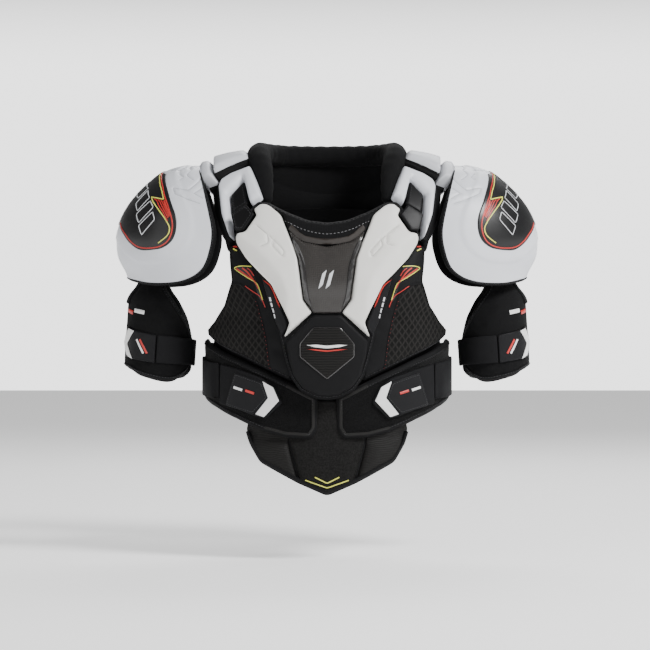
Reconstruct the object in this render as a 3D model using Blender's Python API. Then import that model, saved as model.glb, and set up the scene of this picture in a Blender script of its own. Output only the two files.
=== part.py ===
"""Hockey shoulder pads: hinged shoulder caps, floating sternum plate, bicep guards, belly pad.

Frame: metres, +Z up. The wearer faces -Y and the wearer's left side is +X.
The origin is on the torso axis at the base of the neck.
Outlines and heights are written in millimetres and scaled by MM when a mesh is made.
"""
import math

import bmesh
import bpy
from mathutils import Vector

MM = 0.001

# ---------------------------------------------------------------- torso shape
SECTION_POWER = 2.4
WAIST_HALF_WIDTH = 146.0
CHEST_HALF_WIDTH = 185.0
WAIST_Z = -170.0
CHEST_Z = -50.0
FRONT_DEPTH = 108.0
FRONT_SWELL = (6.0, -120.0, 70.0)
BACK_DEPTH = 96.0
BACK_SWELL = (10.0, -70.0, 60.0)
SHOULDER_TOP_Z = 58.0
SHOULDER_SLOPE = 0.25
NECK_HALF_WIDTH = 70.0
FRONT_DROP = 170.0
BACK_DROP = 130.0

# Reference section that measures the distance around the torso.
GIRTH_HALF_WIDTH = 156.0
GIRTH_FRONT_DEPTH = 122.0
GIRTH_BACK_DEPTH = 110.0
GIRTH_STEPS = 360

# ------------------------------------------------- layers above the torso (mm)
LINER_LAYER = (-1.0, 1.0)
PAD_LAYER = (2.0, 14.0)
LOOP_LAYER = (7.0, 12.0)
ANCHOR_LAYER = (0.0, 6.0)
FLAP_CORE_LAYER = (0.0, 9.5)
FLAP_SIDE_LAYER = (0.0, 8.0)
BAND_LAYER = (2.0, 10.0)
STRAP_LAYER = (13.0, 16.0)
YOKE_LAYER = (2.0, 10.0)
FRAME_LAYER = (11.0, 22.0)
STRAP_TAB_LAYER = (12.0, 17.0)
CLAVICLE_LAYER = (11.0, 30.0)
LINK_LAYER = (12.0, 27.0)
BACKING_LAYER = (15.5, 24.0)
PLATE_LAYER = (24.8, 33.0)
CORE_LAYER = (24.8, 31.0)
SHIELD_LAYER = (24.8, 32.0)
BADGE_LAYER = (32.7, 34.2)
ACCENT_LAYER = (24.8, 28.0)
TIP_LAYER = (24.8, 28.8)
SPINE_LAYER = (15.0, 26.0)
LOWER_BACK_LAYER = (1.0, 12.0)

# ----------------------------------------- front outlines, left half (x, z mm)
BACKING = (
    (0, -33), (25, -29.5), (50, -19.5), (65, -12), (75, -6), (87.5, -4.5), (95, -11),
    (116, -42), (118.5, -52), (111, -71), (90, -93), (77.5, -111), (71, -131), (64, -162),
    (57.5, -187), (52.5, -208), (46, -228), (34, -244.5), (15, -254), (0, -256),
)
NECK_BAND = (
    (0, -35.5), (25, -32), (50, -22), (57, -18.8), (49.5, -41), (31, -54.5), (0, -61.5),
)
CORE = (
    (0, -64), (31, -57), (48, -43.5), (43.5, -58), (36.5, -78), (32.5, -108),
    (29.5, -131), (17, -148), (0, -148),
)
WING = (
    (19.5, -147), (31, -131), (34, -108), (38, -78), (45, -58), (59.5, -22), (72.5, -11),
    (79, -8), (85, -8), (94, -15), (90, -23), (104, -44), (114, -46), (117, -52),
    (115, -60), (102.5, -79.5), (85, -98), (71, -112), (48, -159.5), (55, -178),
)
ACCENT = ((82, -103), (75, -129), (64, -161), (57, -176), (50, -166), (50, -160), (70, -116))
SHIELD = (
    (0, -149.5), (17.5, -149.5), (52, -182), (49, -206), (43, -226), (31, -241.5),
    (13, -250.5), (0, -252),
)
BADGE = ((0, -166), (17, -166), (33.5, -186), (33.5, -202), (0, -229.5))
INNER_PAD = ((0, -48), (44, -40), (66, -72), (70, -96), (58, -130), (34, -212), (0, -224))
CHEST_PAD = (
    (106, -56), (117, -58), (126, -63), (123, -106), (132.5, -136), (145, -156),
    (154, -167), (153, -177), (143, -186), (109, -203), (71, -221), (47.5, -232),
    (38, -218), (62, -131), (74, -96), (75, -93),
)
STRAP_TAB = ((109, 26), (126, 7), (123, -17), (103, -5), (104.5, 0.5))
STRAP_TIP = ((122, -22.5), (116.5, -43), (105.5, -43.5), (92, -22.5), (102.5, -10))
FRAME = (
    (85, 4.5), (99.5, 45), (125, 35), (138, 26.5), (141.5, 16.6), (136.5, -20.4),
    (124.5, -52.3), (122.5, -49), (126.5, -18), (129.5, 8), (109, 30), (101.5, 0.5), (98.5, -6.5),
)
ANCHOR = ((0, -258), (96, -258), (104, -296), (99, -306), (0, -306))
FLAP_CORE = ((0, -309.5), (48, -309.5), (34.5, -361.5), (0, -376))
FLAP_SIDE = ((49.2, -309.5), (100, -309.5), (86, -334.5), (36.2, -360.5))
BELLY_STRAP = (
    (136, -211.5), (111, -219), (82, -229), (66, -241), (57, -260), (78, -280), (92, -277),
    (112, -269), (137, -262),
)

# Loop panel and bands: distance around the torso (mm), z (mm).
LOOP_PANEL = (
    (47, -236), (72, -224.5), (114, -207), (166, -190), (206, -181), (240, -184), (240, -252),
    (198, -258), (158, -267), (117, -281), (79, -296), (51, -303), (20, -304.5), (13, -293),
    (13, -253),
)
SIDE_BAND = ((242, -186), (330, -196), (338, -255), (242, -254))
SIDE_STRAP = ((156, -207), (226, -203), (300, -205), (300, -250), (226, -252), (156, -257))

# ------------------------------------------- back outlines, left half (x, z mm)
SPINE_GUARD = ((0, -5), (36, -8), (40, -30), (26, -80), (20, -150), (21, -188), (0, -200))
BACK_PAD = (
    (38, -2), (70, -5), (100, -15), (118, -40), (120, -95), (108, -150), (92, -192),
    (38, -192), (31, -150), (31, -100), (42, -40),
)
BACK_LINER = ((0, -6), (60, -8), (96, -18), (112, -60), (100, -150), (84, -188), (0, -196))
LOWER_BACK = ((0, -207), (88, -207), (96, -240), (84, -284), (50, -300), (0, -304))

# ----------------- over-the-shoulder outlines (x on the torso mm, degrees to front)
YOKE = ((94, 42), (110, 50), (134, 44), (135, 0), (134, -36), (112, -42), (94, -38), (93, 0))
CLAVICLE_CAP = (
    (89, 16), (107, 19.5), (119, 23), (122.5, 26), (122.5, 0), (122.5, -46), (107, -44),
    (89, -36),
)
LINK = (
    (127.5, 29), (133, 31), (136, 24), (138.5, 13), (139, 0), (138.5, -13), (135.5, -27),
    (130.5, -42), (127.5, -42), (127.5, 0),
)

# ---------------------------------------------------------------- shoulder cap
# Share of the way up (%), z, half depth, section centre x, reach beyond it (mm).
CAP_ROWS = (
    (0.0, -98.0, 89.0, 149.0, 113.0),
    (20.0, -72.0, 91.0, 148.0, 124.0),
    (40.0, -42.0, 90.0, 145.5, 126.0),
    (60.0, -8.0, 80.0, 151.0, 105.0),
    (80.0, 23.0, 57.0, 158.5, 68.5),
    (92.0, 38.0, 35.0, 163.0, 41.0),
    (100.0, 47.0, 3.0, 165.0, 4.0),
)
CAP_SHELL = ((-90, 99), (-90, 30), (-88, 18), (-81, 8), (-68, 2), (-50, 0))
CAP_LINER = ((-84, 90), (-84, 30), (-80, 20), (-72, 14), (-48, 12))
CAP_INLAY_Z = (
    (-37, 30), (-54, 15), (-63, -7), (-66, -24), (-68, -46), (-66, -57), (-62, -68),
    (-54, -74), (-47, -74), (-38, -69), (-29, -57), (-16, -41),
)
CAP_INLAY_TOP_Z = 34.0
CAP_INLAY_NOTCH_Z = -30.0
CAP_SHELL_LAYER = (-6.0, 0.0)
CAP_LINER_LAYER = (-16.5, -8.0)
CAP_INLAY_LAYER = (0.8, 2.4)

# ------------------------------------------------------------------- arm guard
ARM_AXIS = ((-97.0, 209.0), (-120.0, 213.0), (-230.0, 220.0))
ARM_RADIUS = 34.0
ARM_TOP_PINCH = 4.0
ARM_PINCH_Z = (-113.0, -97.0)
GUARD_LAYER = (0.0, 10.0)
ARM_STRAP_LAYER = (10.8, 13.4)
ARM_GUARD = (
    (-88, -98), (-96, -112), (-147, -162), (-166, -181), (-170, -200), (-168, -229),
    (165, -229), (166, -188), (140, -152), (100, -112), (90, -98), (0, -97),
)
ARM_STRAP = ((-89, -175.5), (-89, -211), (-196, -216), (-196, -183), (-150, -180))
ARM_TAB = ((-87, -175.5), (-40, -168), (-28, -164), (-15, -184), (-28, -203), (-40, -205), (-87, -211))
SLING = ((249, -50), (252.5, -52), (239.5, -82), (232.5, -100), (229, -100), (236, -80))
SLING_HALF_WIDTH = 10.0

# ---------------------------------------------------------------------- collar
# x, y, z, radius (mm) along the left collar roll from the front end.
COLLAR_SIDE = (
    (70, -64, 8, 9.5), (77, -48, 32, 11.5), (85, -20, 54, 12), (87, 10, 63, 12),
    (82, 38, 66, 12), (66, 60, 66, 12),
)
COLLAR_BACK = ((58, 66.5, 66, 12), (32, 79, 65, 12), (0, 84, 64, 12))
COLLAR_SEGMENTS = 8
NAPE_HALF_WIDTH = 82.0
NAPE_LOWER = (88.0, 112.0, 9.0, 22.0)
NAPE_UPPER = (84.0, 94.0, 47.0, 4.0)
NAPE_LAYER = (0.0, 7.0)

# ---------------------------------------------------- joint positions (mm, left)
ROOT_PIVOT = (0.0, 0.0, 0.0)
STERNUM_PIVOT = (0.0, -100.0, -10.0)
BELLY_PIVOT = (0.0, -117.5, -308.0)
LOWER_BACK_PIVOT = (0.0, 108.5, -204.0)
LINK_PIVOT = (146.0, 0.0, 42.0)
CAP_PIVOT = (165.0, 0.0, 45.0)
SLING_PIVOT = (220.0, 0.0, -66.0)
BICEP_PIVOT = (220.0, 0.0, -84.0)
ARM_TAB_PIVOT = (219.5, -48.0, -193.0)
BELLY_STRAP_PIVOT = (139.5, -76.0, -236.0)

# ---------------------------------------------------------- mesh spacing (mm, degrees, %)
PANEL_STEP = (22.0, 26.0)
FINE_STEP = (18.0, 22.0)
SHOULDER_STEP = (16.0, 11.0)
CAP_STEP = (12.0, 10.0)
ARM_STEP = (24.0, 33.0)
SNAP = 1.4
SOLVE_PASSES = 12
SHARP_ANGLE = math.radians(40.0)

# --------------------------------------------------------------------- finishes
WHITE_SHELL = ((0.80, 0.81, 0.83), 0.42)
WARM_WHITE = ((0.78, 0.76, 0.71), 0.5)
GREY_FOAM = ((0.55, 0.56, 0.58), 0.55)
BLACK_FABRIC = ((0.018, 0.018, 0.02), 0.92)
BLACK_FOAM = ((0.022, 0.022, 0.024), 0.7)
BLACK_GLOSS = ((0.012, 0.012, 0.013), 0.28)
BLACK_LEATHER = ((0.02, 0.02, 0.021), 0.5)
BLACK_LOOP = ((0.014, 0.014, 0.015), 1.0)
DARK_ELASTIC = ((0.03, 0.03, 0.032), 0.85)


# ------------------------------------------------------------------------ maths
def smoothstep(t):
    """Ease from 0 to 1 without a corner at either end."""
    t = min(max(t, 0.0), 1.0)
    return t * t * (3.0 - 2.0 * t)


def rounded(t):
    """Superellipse power of a sine or cosine."""
    return abs(t) ** (2.0 / SECTION_POWER)


def swell(z, amount, centre, spread):
    """Bell-shaped extra depth around one height."""
    return amount * math.exp(-(((z - centre) / spread) ** 2))


def half_width(z):
    """Half width of the torso at a height."""
    grown = smoothstep((z - WAIST_Z) / (CHEST_Z - WAIST_Z))
    return WAIST_HALF_WIDTH + (CHEST_HALF_WIDTH - WAIST_HALF_WIDTH) * grown


def depth_at(z, front):
    """Depth of the torso from its axis at a height."""
    if front:
        return FRONT_DEPTH + swell(z, *FRONT_SWELL)
    return BACK_DEPTH + swell(z, *BACK_SWELL)


def shoulder_height(x):
    """Height of the shoulder line at a distance from the neck."""
    return SHOULDER_TOP_Z - SHOULDER_SLOPE * max(abs(x), NECK_HALF_WIDTH)


def girth_table():
    """Pairs of section angle and distance around the reference section."""
    table = []
    travelled = 0.0
    previous = None
    for i in range(GIRTH_STEPS + 1):
        angle = math.pi * i / GIRTH_STEPS
        depth = GIRTH_FRONT_DEPTH if angle <= math.pi / 2 else GIRTH_BACK_DEPTH
        x = GIRTH_HALF_WIDTH * rounded(math.sin(angle))
        y = -math.copysign(depth * rounded(math.cos(angle)), math.cos(angle))
        if previous is not None:
            travelled += math.hypot(x - previous[0], y - previous[1])
        table.append((travelled, angle))
        previous = (x, y)
    return table


GIRTH = girth_table()
GIRTH_TOTAL = GIRTH[-1][0]


def blend(table, key):
    """Linear value of a sorted two-column table at a key."""
    if key <= table[0][0]:
        return table[0][1]
    for (k0, v0), (k1, v1) in zip(table, table[1:]):
        if key <= k1:
            return v0 + (v1 - v0) * (key - k0) / (k1 - k0)
    return table[-1][1]


GIRTH_BY_ANGLE = [(angle, travelled) for travelled, angle in GIRTH]


def torso_point(side, angle, cosine, z, h):
    """Point h above the torso, from its section angle and its slope from vertical."""
    front = angle <= math.pi / 2
    width = half_width(z)
    sine = math.sqrt(max(0.0, 1.0 - cosine * cosine))
    x = side * (width + h) * rounded(math.sin(angle))
    y = (depth_at(z, front) + h) * rounded(math.cos(angle)) * sine
    return Vector((x, -y if front else y, z + h * cosine))


def torso(s, z, h):
    """Torso chart: s is the distance around from the front centre, z the torso height."""
    angle = blend(GIRTH, min(abs(s), GIRTH_TOTAL))
    front = angle <= math.pi / 2
    drop = FRONT_DROP if front else BACK_DROP
    x = half_width(z) * rounded(math.sin(angle))
    cosine = (z - shoulder_height(x) + drop) / drop
    return torso_point(math.copysign(1.0, s), angle, min(max(cosine, 0.0), 1.0), z, h)


def shoulder(x, degrees, h):
    """Shoulder chart: x on the torso, degrees forward (+) or backward (-) of the crest."""
    front = degrees >= 0.0
    cosine = math.cos(math.radians(degrees))
    drop = FRONT_DROP if front else BACK_DROP
    z = shoulder_height(x) - drop * (1.0 - cosine)
    angle = math.asin(min(abs(x) / half_width(z), 1.0) ** (SECTION_POWER / 2.0))
    if not front:
        angle = math.pi - angle
    return torso_point(math.copysign(1.0, x), angle, cosine, z, h)


def seen_from(front, points, h):
    """Turn an outline drawn in the front or back view at height h into chart values."""
    chart = []
    drop = FRONT_DROP if front else BACK_DROP
    for x, z in points:
        width = CHEST_HALF_WIDTH
        for _ in range(SOLVE_PASSES):
            ground = abs(x) * width / (width + h)
            cosine = (z - shoulder_height(ground) + drop) / (drop + h)
            level = z
            if cosine > 0.0:
                level = z - h * cosine
            width = half_width(level)
        angle = math.asin(min(abs(x) / (width + h), 1.0) ** (SECTION_POWER / 2.0))
        if not front:
            angle = math.pi - angle
        chart.append((math.copysign(blend(GIRTH_BY_ANGLE, angle), x), level))
    return chart


def cap_row(share):
    """Smooth cap section values at a share of the way up."""
    rows = CAP_ROWS
    share = min(max(share, rows[0][0]), rows[-1][0])
    i = 0
    while i < len(rows) - 2 and share > rows[i + 1][0]:
        i += 1
    before = rows[max(i - 1, 0)]
    after = rows[min(i + 2, len(rows) - 1)]
    low = rows[i]
    high = rows[i + 1]
    span = high[0] - low[0]
    t = (share - low[0]) / span
    values = []
    for k in range(1, len(low)):
        slope_low = (high[k] - before[k]) / (high[0] - before[0]) * span
        slope_high = (after[k] - low[k]) / (after[0] - low[0]) * span
        a = low[k]
        b = slope_low
        c = 3.0 * (high[k] - low[k]) - 2.0 * slope_low - slope_high
        d = slope_low + slope_high - 2.0 * (high[k] - low[k])
        values.append(a + t * (b + t * (c + t * d)))
    return values


def cap_surface(degrees, share):
    """Outer face of the left shoulder cap; 0 degrees is outermost, -90 the front."""
    z, depth, centre, reach = cap_row(share)
    angle = math.radians(degrees)
    return Vector((centre + reach * math.cos(angle), depth * math.sin(angle), z))


def cap(degrees, share, h):
    """Cap chart: a point h outside the left cap's outer face."""
    nudge = 0.5
    along = cap_surface(degrees + nudge, share) - cap_surface(degrees - nudge, share)
    up = cap_surface(degrees, min(share + nudge, 100.0)) - cap_surface(degrees, max(share - nudge, 0.0))
    return cap_surface(degrees, share) + along.cross(up).normalized() * h


def cap_share(z):
    """Share of the way up the cap at a height."""
    low = 0.0
    high = 100.0
    while high - low > 0.01:
        middle = 0.5 * (low + high)
        if cap_row(middle)[0] < z:
            low = middle
        else:
            high = middle
    return low


def arm(degrees, z, h):
    """Arm chart: 0 degrees is outermost, -90 the front; h is above the guard's inner face."""
    centre = blend([(-height, x) for height, x in ARM_AXIS], -z)
    low, high = ARM_PINCH_Z
    pinch = ARM_TOP_PINCH * smoothstep((z - low) / (high - low))
    radius = ARM_RADIUS + h - pinch
    angle = math.radians(degrees)
    return Vector((centre + radius * math.cos(angle), radius * math.sin(angle), z))


def nape(x, share, h):
    """Nape chart: x across, share from the lower to the upper edge, h backward."""
    rows = []
    for depth, half, height, rise in (NAPE_LOWER, NAPE_UPPER):
        y = depth * math.sqrt(1.0 - (x / half) ** 2)
        rows.append(Vector((x, y, height + rise * (x / NAPE_HALF_WIDTH) ** 2)))
    centre = rows[0].lerp(rows[1], share)
    outward = Vector((x, centre.y, 0.0)).normalized()
    return centre + outward * h


# ---------------------------------------------------------------------- outlines
def whole(half):
    """Close a half outline that starts and ends on the middle line."""
    return list(half) + [(-x, z) for x, z in reversed(half) if x != 0]


def flipped(points):
    """Mirror an outline to the right-hand side."""
    return [(-x, z) for x, z in reversed(points)]


def grid_cut(outline, steps):
    """Triangulated flat outline, split along a shared grid."""
    flat = bmesh.new()
    flat.faces.new([flat.verts.new((u, v, 0.0)) for u, v in outline])
    for axis in (0, 1):
        step = steps[axis]
        values = [point[axis] for point in outline]
        line = math.floor(min(values) / step) + 1
        while line * step < max(values):
            place = [0.0, 0.0, 0.0]
            facing = [0.0, 0.0, 0.0]
            place[axis] = line * step
            facing[axis] = 1.0
            everything = list(flat.verts) + list(flat.edges) + list(flat.faces)
            bmesh.ops.bisect_plane(flat, geom=everything, dist=SNAP, plane_co=place, plane_no=facing)
            line += 1
    bmesh.ops.triangulate(flat, faces=list(flat.faces))
    return flat


# ------------------------------------------------------------------------ nodes
def finish(name, mesh, look, pivot):
    """Turn a closed mesh in millimetres into a named object with its own material."""
    bmesh.ops.recalc_face_normals(mesh, faces=list(mesh.faces))
    if mesh.calc_volume(signed=True) < 0.0:
        bmesh.ops.reverse_faces(mesh, faces=list(mesh.faces))
    for vert in mesh.verts:
        vert.co = (vert.co - Vector(pivot)) * MM
    data = bpy.data.meshes.new(name)
    mesh.to_mesh(data)
    mesh.free()
    data.shade_smooth()
    data.set_sharp_from_angle(angle=SHARP_ANGLE)
    node = bpy.data.objects.new(name, data)
    node.location = Vector(pivot) * MM
    colour, roughness = look
    material = bpy.data.materials.new(name + "_material")
    material.use_nodes = True
    surface = material.node_tree.nodes["Principled BSDF"]
    surface.inputs["Base Color"].default_value = (*colour, 1.0)
    surface.inputs["Roughness"].default_value = roughness
    data.materials.append(material)
    bpy.context.scene.collection.objects.link(node)
    return node


def panel(name, outline, layer, look, chart=torso, steps=PANEL_STEP, pivot=ROOT_PIVOT):
    """Solid sheet between two heights of a chart, bounded by an outline in chart values."""
    solid = grid_cut(outline, steps)
    inner = list(solid.verts)
    grown = bmesh.ops.extrude_face_region(solid, geom=list(solid.faces), use_keep_orig=True)
    outer = [item for item in grown["geom"] if isinstance(item, bmesh.types.BMVert)]
    for verts, h in ((inner, layer[0]), (outer, layer[1])):
        for vert in verts:
            vert.co = chart(vert.co.x, vert.co.y, h)
    return finish(name, solid, look, pivot)


def mirrored(node, name):
    """Right-hand copy of a left-hand node."""
    data = node.data.copy()
    data.name = name
    copy = bpy.data.objects.new(name, data)
    copy.location = (-node.location.x, node.location.y, node.location.z)
    for vert in data.vertices:
        vert.co.x = -vert.co.x
    data.flip_normals()
    material = node.data.materials[0].copy()
    material.name = name + "_material"
    data.materials[0] = material
    bpy.context.scene.collection.objects.link(copy)
    return copy


def pair(name, outline, layer, look, **options):
    """Left panel and its right-hand mirror."""
    left = panel(name + "_left", outline, layer, look, **options)
    mirrored(left, name + "_right")


def roll(name, stations, look, pivot=ROOT_PIVOT):
    """Closed tube through stations of x, y, z and radius."""
    solid = bmesh.new()
    rings = []
    count = len(stations)
    for i, (x, y, z, radius) in enumerate(stations):
        ahead = Vector(stations[min(i + 1, count - 1)][:3])
        behind = Vector(stations[max(i - 1, 0)][:3])
        along = (ahead - behind).normalized()
        across = along.cross(Vector((0.0, 0.0, 1.0))).normalized()
        upward = across.cross(along)
        ring = []
        for k in range(COLLAR_SEGMENTS):
            turn = 2.0 * math.pi * k / COLLAR_SEGMENTS
            offset = across * math.cos(turn) + upward * math.sin(turn)
            ring.append(solid.verts.new(Vector((x, y, z)) + offset * radius))
        rings.append(ring)
    for ring, following in zip(rings, rings[1:]):
        for k in range(COLLAR_SEGMENTS):
            after = (k + 1) % COLLAR_SEGMENTS
            solid.faces.new((ring[k], ring[after], following[after], following[k]))
    solid.faces.new(list(reversed(rings[0])))
    solid.faces.new(rings[-1])
    return finish(name, solid, look, pivot)


def hanger(name, outline, half_depth, look, pivot):
    """Strap drawn in the front plane and given a width in Y."""
    solid = bmesh.new()
    front = [solid.verts.new((x, -half_depth, z)) for x, z in outline]
    back = [solid.verts.new((x, half_depth, z)) for x, z in outline]
    solid.faces.new(front)
    solid.faces.new(list(reversed(back)))
    count = len(outline)
    for i in range(count):
        j = (i + 1) % count
        solid.faces.new((front[j], front[i], back[i], back[j]))
    bmesh.ops.triangulate(solid, faces=list(solid.faces))
    return finish(name, solid, look, pivot)


def clear_scene():
    """Remove every object from the file."""
    for item in list(bpy.data.objects):
        bpy.data.objects.remove(item, do_unlink=True)


def build_front():
    """Chest pads, loop panels, straps and the fixed part of the belly pad."""
    top = PAD_LAYER[1]
    pair("chest_pad", seen_from(True, CHEST_PAD, top), PAD_LAYER, BLACK_FABRIC)
    panel("sternum_inner_pad", seen_from(True, whole(INNER_PAD), top), PAD_LAYER, BLACK_FABRIC)
    pair("loop_panel", LOOP_PANEL, LOOP_LAYER, BLACK_LOOP)
    pair("side_band", SIDE_BAND, BAND_LAYER, BLACK_FABRIC)
    pair("side_strap", SIDE_STRAP, STRAP_LAYER, DARK_ELASTIC)
    panel("belly_pad_anchor", seen_from(True, whole(ANCHOR), 0.0), ANCHOR_LAYER, BLACK_FABRIC)
    strap = seen_from(True, BELLY_STRAP, STRAP_LAYER[1])
    pair("belly_strap", strap, STRAP_LAYER, DARK_ELASTIC, pivot=BELLY_STRAP_PIVOT)


def build_belly():
    """Hinged belly flap: woven centre and two padded sides."""
    top = FLAP_CORE_LAYER[1]
    panel("belly_core", seen_from(True, whole(FLAP_CORE), top), FLAP_CORE_LAYER, BLACK_FABRIC,
          pivot=BELLY_PIVOT)
    pair("belly_side", seen_from(True, FLAP_SIDE, FLAP_SIDE_LAYER[1]), FLAP_SIDE_LAYER, BLACK_FOAM,
         pivot=BELLY_PIVOT)


def build_sternum():
    """Floating sternum plate: backing, neck band, woven core, wings, shield and badge."""
    middle = (
        ("sternum_backing", BACKING, BACKING_LAYER, BLACK_FABRIC),
        ("neck_band", NECK_BAND, CORE_LAYER, BLACK_FABRIC),
        ("sternum_core", CORE, CORE_LAYER, BLACK_GLOSS),
        ("sternum_shield", SHIELD, SHIELD_LAYER, BLACK_FOAM),
        ("sternum_badge", BADGE, BADGE_LAYER, BLACK_GLOSS),
    )
    for name, half, layer, look in middle:
        outline = seen_from(True, whole(half), layer[1])
        panel(name, outline, layer, look, pivot=STERNUM_PIVOT)
    sides = (
        ("sternum_wing", WING, PLATE_LAYER, WARM_WHITE),
        ("side_accent", ACCENT, ACCENT_LAYER, BLACK_FOAM),
        ("strap_tip", STRAP_TIP, TIP_LAYER, BLACK_LEATHER),
    )
    for name, outline, layer, look in sides:
        pair(name, seen_from(True, outline, layer[1]), layer, look, pivot=STERNUM_PIVOT)


def build_shoulders():
    """Yokes, clavicle frames, strap tabs, segments and the collar."""
    pair("yoke", YOKE, YOKE_LAYER, BLACK_FABRIC, chart=shoulder, steps=SHOULDER_STEP)
    frame = seen_from(True, FRAME, FRAME_LAYER[1])
    pair("clavicle_frame", frame, FRAME_LAYER, WHITE_SHELL, steps=FINE_STEP)
    tab = seen_from(True, STRAP_TAB, FRAME_LAYER[1])
    pair("shoulder_strap", tab, STRAP_TAB_LAYER, BLACK_LEATHER, steps=FINE_STEP)
    pair("clavicle_cap", CLAVICLE_CAP, CLAVICLE_LAYER, GREY_FOAM, chart=shoulder,
         steps=SHOULDER_STEP)
    pair("clavicle_link", LINK, LINK_LAYER, GREY_FOAM, chart=shoulder, steps=SHOULDER_STEP,
         pivot=LINK_PIVOT)
    left = roll("collar_left", COLLAR_SIDE, BLACK_FABRIC)
    mirrored(left, "collar_right")
    across = list(COLLAR_BACK) + [(-x, y, z, r) for x, y, z, r in reversed(COLLAR_BACK[:-1])]
    roll("collar_back", across, BLACK_FABRIC)
    edge = ((-NAPE_HALF_WIDTH, 0), (NAPE_HALF_WIDTH, 0), (NAPE_HALF_WIDTH, 1), (-NAPE_HALF_WIDTH, 1))
    panel("nape_panel", edge, NAPE_LAYER, BLACK_FABRIC, chart=nape, steps=(PANEL_STEP[0], 2.0))


def build_back():
    """Back pads, spine guard, liner and the hinged lower back pad."""
    pair("upper_back_pad", seen_from(False, BACK_PAD, PAD_LAYER[1]), PAD_LAYER, BLACK_FABRIC)
    middle = (
        ("spine_guard", SPINE_GUARD, SPINE_LAYER, WHITE_SHELL, ROOT_PIVOT),
        ("back_liner", BACK_LINER, LINER_LAYER, BLACK_FABRIC, ROOT_PIVOT),
        ("lower_back_pad", LOWER_BACK, LOWER_BACK_LAYER, BLACK_FABRIC, LOWER_BACK_PIVOT),
    )
    for name, half, layer, look, pivot in middle:
        outline = seen_from(False, whole(half), layer[1])
        around = [(s if s >= 0.0 else s + 2.0 * GIRTH_TOTAL, z) for s, z in outline]
        panel(name, around, layer, look, chart=back_torso, pivot=pivot)


def back_torso(s, z, h):
    """Torso chart that runs on past the back centre."""
    if s > GIRTH_TOTAL:
        s -= 2.0 * GIRTH_TOTAL
    return torso(s, z, h)


def build_caps():
    """Shoulder caps with their inlays, liners and the hangers of the arm guards."""
    shell = list(CAP_SHELL) + [(-angle, share) for angle, share in reversed(CAP_SHELL)]
    pair("cap_shell", shell, CAP_SHELL_LAYER, WHITE_SHELL, chart=cap, steps=CAP_STEP,
         pivot=CAP_PIVOT)
    liner = list(CAP_LINER) + [(-angle, share) for angle, share in reversed(CAP_LINER)]
    pair("cap_liner", liner, CAP_LINER_LAYER, BLACK_FABRIC, chart=cap, steps=CAP_STEP,
         pivot=CAP_PIVOT)
    front = [(angle, cap_share(z)) for angle, z in CAP_INLAY_Z]
    rear = [(-angle, share) for angle, share in reversed(front)]
    inlay = [(0.0, cap_share(CAP_INLAY_TOP_Z))] + front + [(0.0, cap_share(CAP_INLAY_NOTCH_Z))] + rear
    pair("cap_inlay", inlay, CAP_INLAY_LAYER, BLACK_GLOSS, chart=cap, steps=CAP_STEP,
         pivot=CAP_PIVOT)
    left = hanger("arm_sling_left", SLING, SLING_HALF_WIDTH, DARK_ELASTIC, SLING_PIVOT)
    mirrored(left, "arm_sling_right")


def build_arms():
    """Bicep guards with their straps and opening tabs."""
    pair("bicep_guard", ARM_GUARD, GUARD_LAYER, BLACK_FABRIC, chart=arm, steps=ARM_STEP,
         pivot=BICEP_PIVOT)
    pair("bicep_strap", ARM_STRAP, ARM_STRAP_LAYER, DARK_ELASTIC, chart=arm, steps=ARM_STEP,
         pivot=BICEP_PIVOT)
    pair("bicep_tab", ARM_TAB, ARM_STRAP_LAYER, DARK_ELASTIC, chart=arm, steps=ARM_STEP,
         pivot=ARM_TAB_PIVOT)


clear_scene()
build_front()
build_belly()
build_sternum()
build_shoulders()
build_back()
build_caps()
build_arms()
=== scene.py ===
"""Hockey shoulder pads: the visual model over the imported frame.

Lengths are millimetres until MM scales them. Outlines are written for the wearer's left (+X)
side and mirrored. The wearer faces -Y.
"""
import math

import bmesh
import bpy
import numpy as np
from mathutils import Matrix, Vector, kdtree
from mathutils.geometry import delaunay_2d_cdt


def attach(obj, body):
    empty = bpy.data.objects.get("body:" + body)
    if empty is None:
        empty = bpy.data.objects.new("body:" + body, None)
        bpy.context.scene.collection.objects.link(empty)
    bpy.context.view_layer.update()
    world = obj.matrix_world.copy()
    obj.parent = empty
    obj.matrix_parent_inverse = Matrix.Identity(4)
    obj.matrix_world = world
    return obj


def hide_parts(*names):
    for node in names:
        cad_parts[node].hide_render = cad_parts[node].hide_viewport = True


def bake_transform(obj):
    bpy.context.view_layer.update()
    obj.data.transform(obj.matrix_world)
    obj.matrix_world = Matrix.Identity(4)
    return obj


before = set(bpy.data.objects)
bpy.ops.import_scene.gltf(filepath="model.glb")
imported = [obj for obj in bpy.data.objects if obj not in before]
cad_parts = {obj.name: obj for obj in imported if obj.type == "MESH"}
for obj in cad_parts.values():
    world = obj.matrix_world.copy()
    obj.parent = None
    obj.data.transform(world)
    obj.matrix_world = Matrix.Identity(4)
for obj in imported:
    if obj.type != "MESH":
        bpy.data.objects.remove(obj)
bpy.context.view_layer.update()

MM = 0.001
SIDES = (("left", 1.0), ("right", -1.0))

TINY = 1e-9

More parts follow.
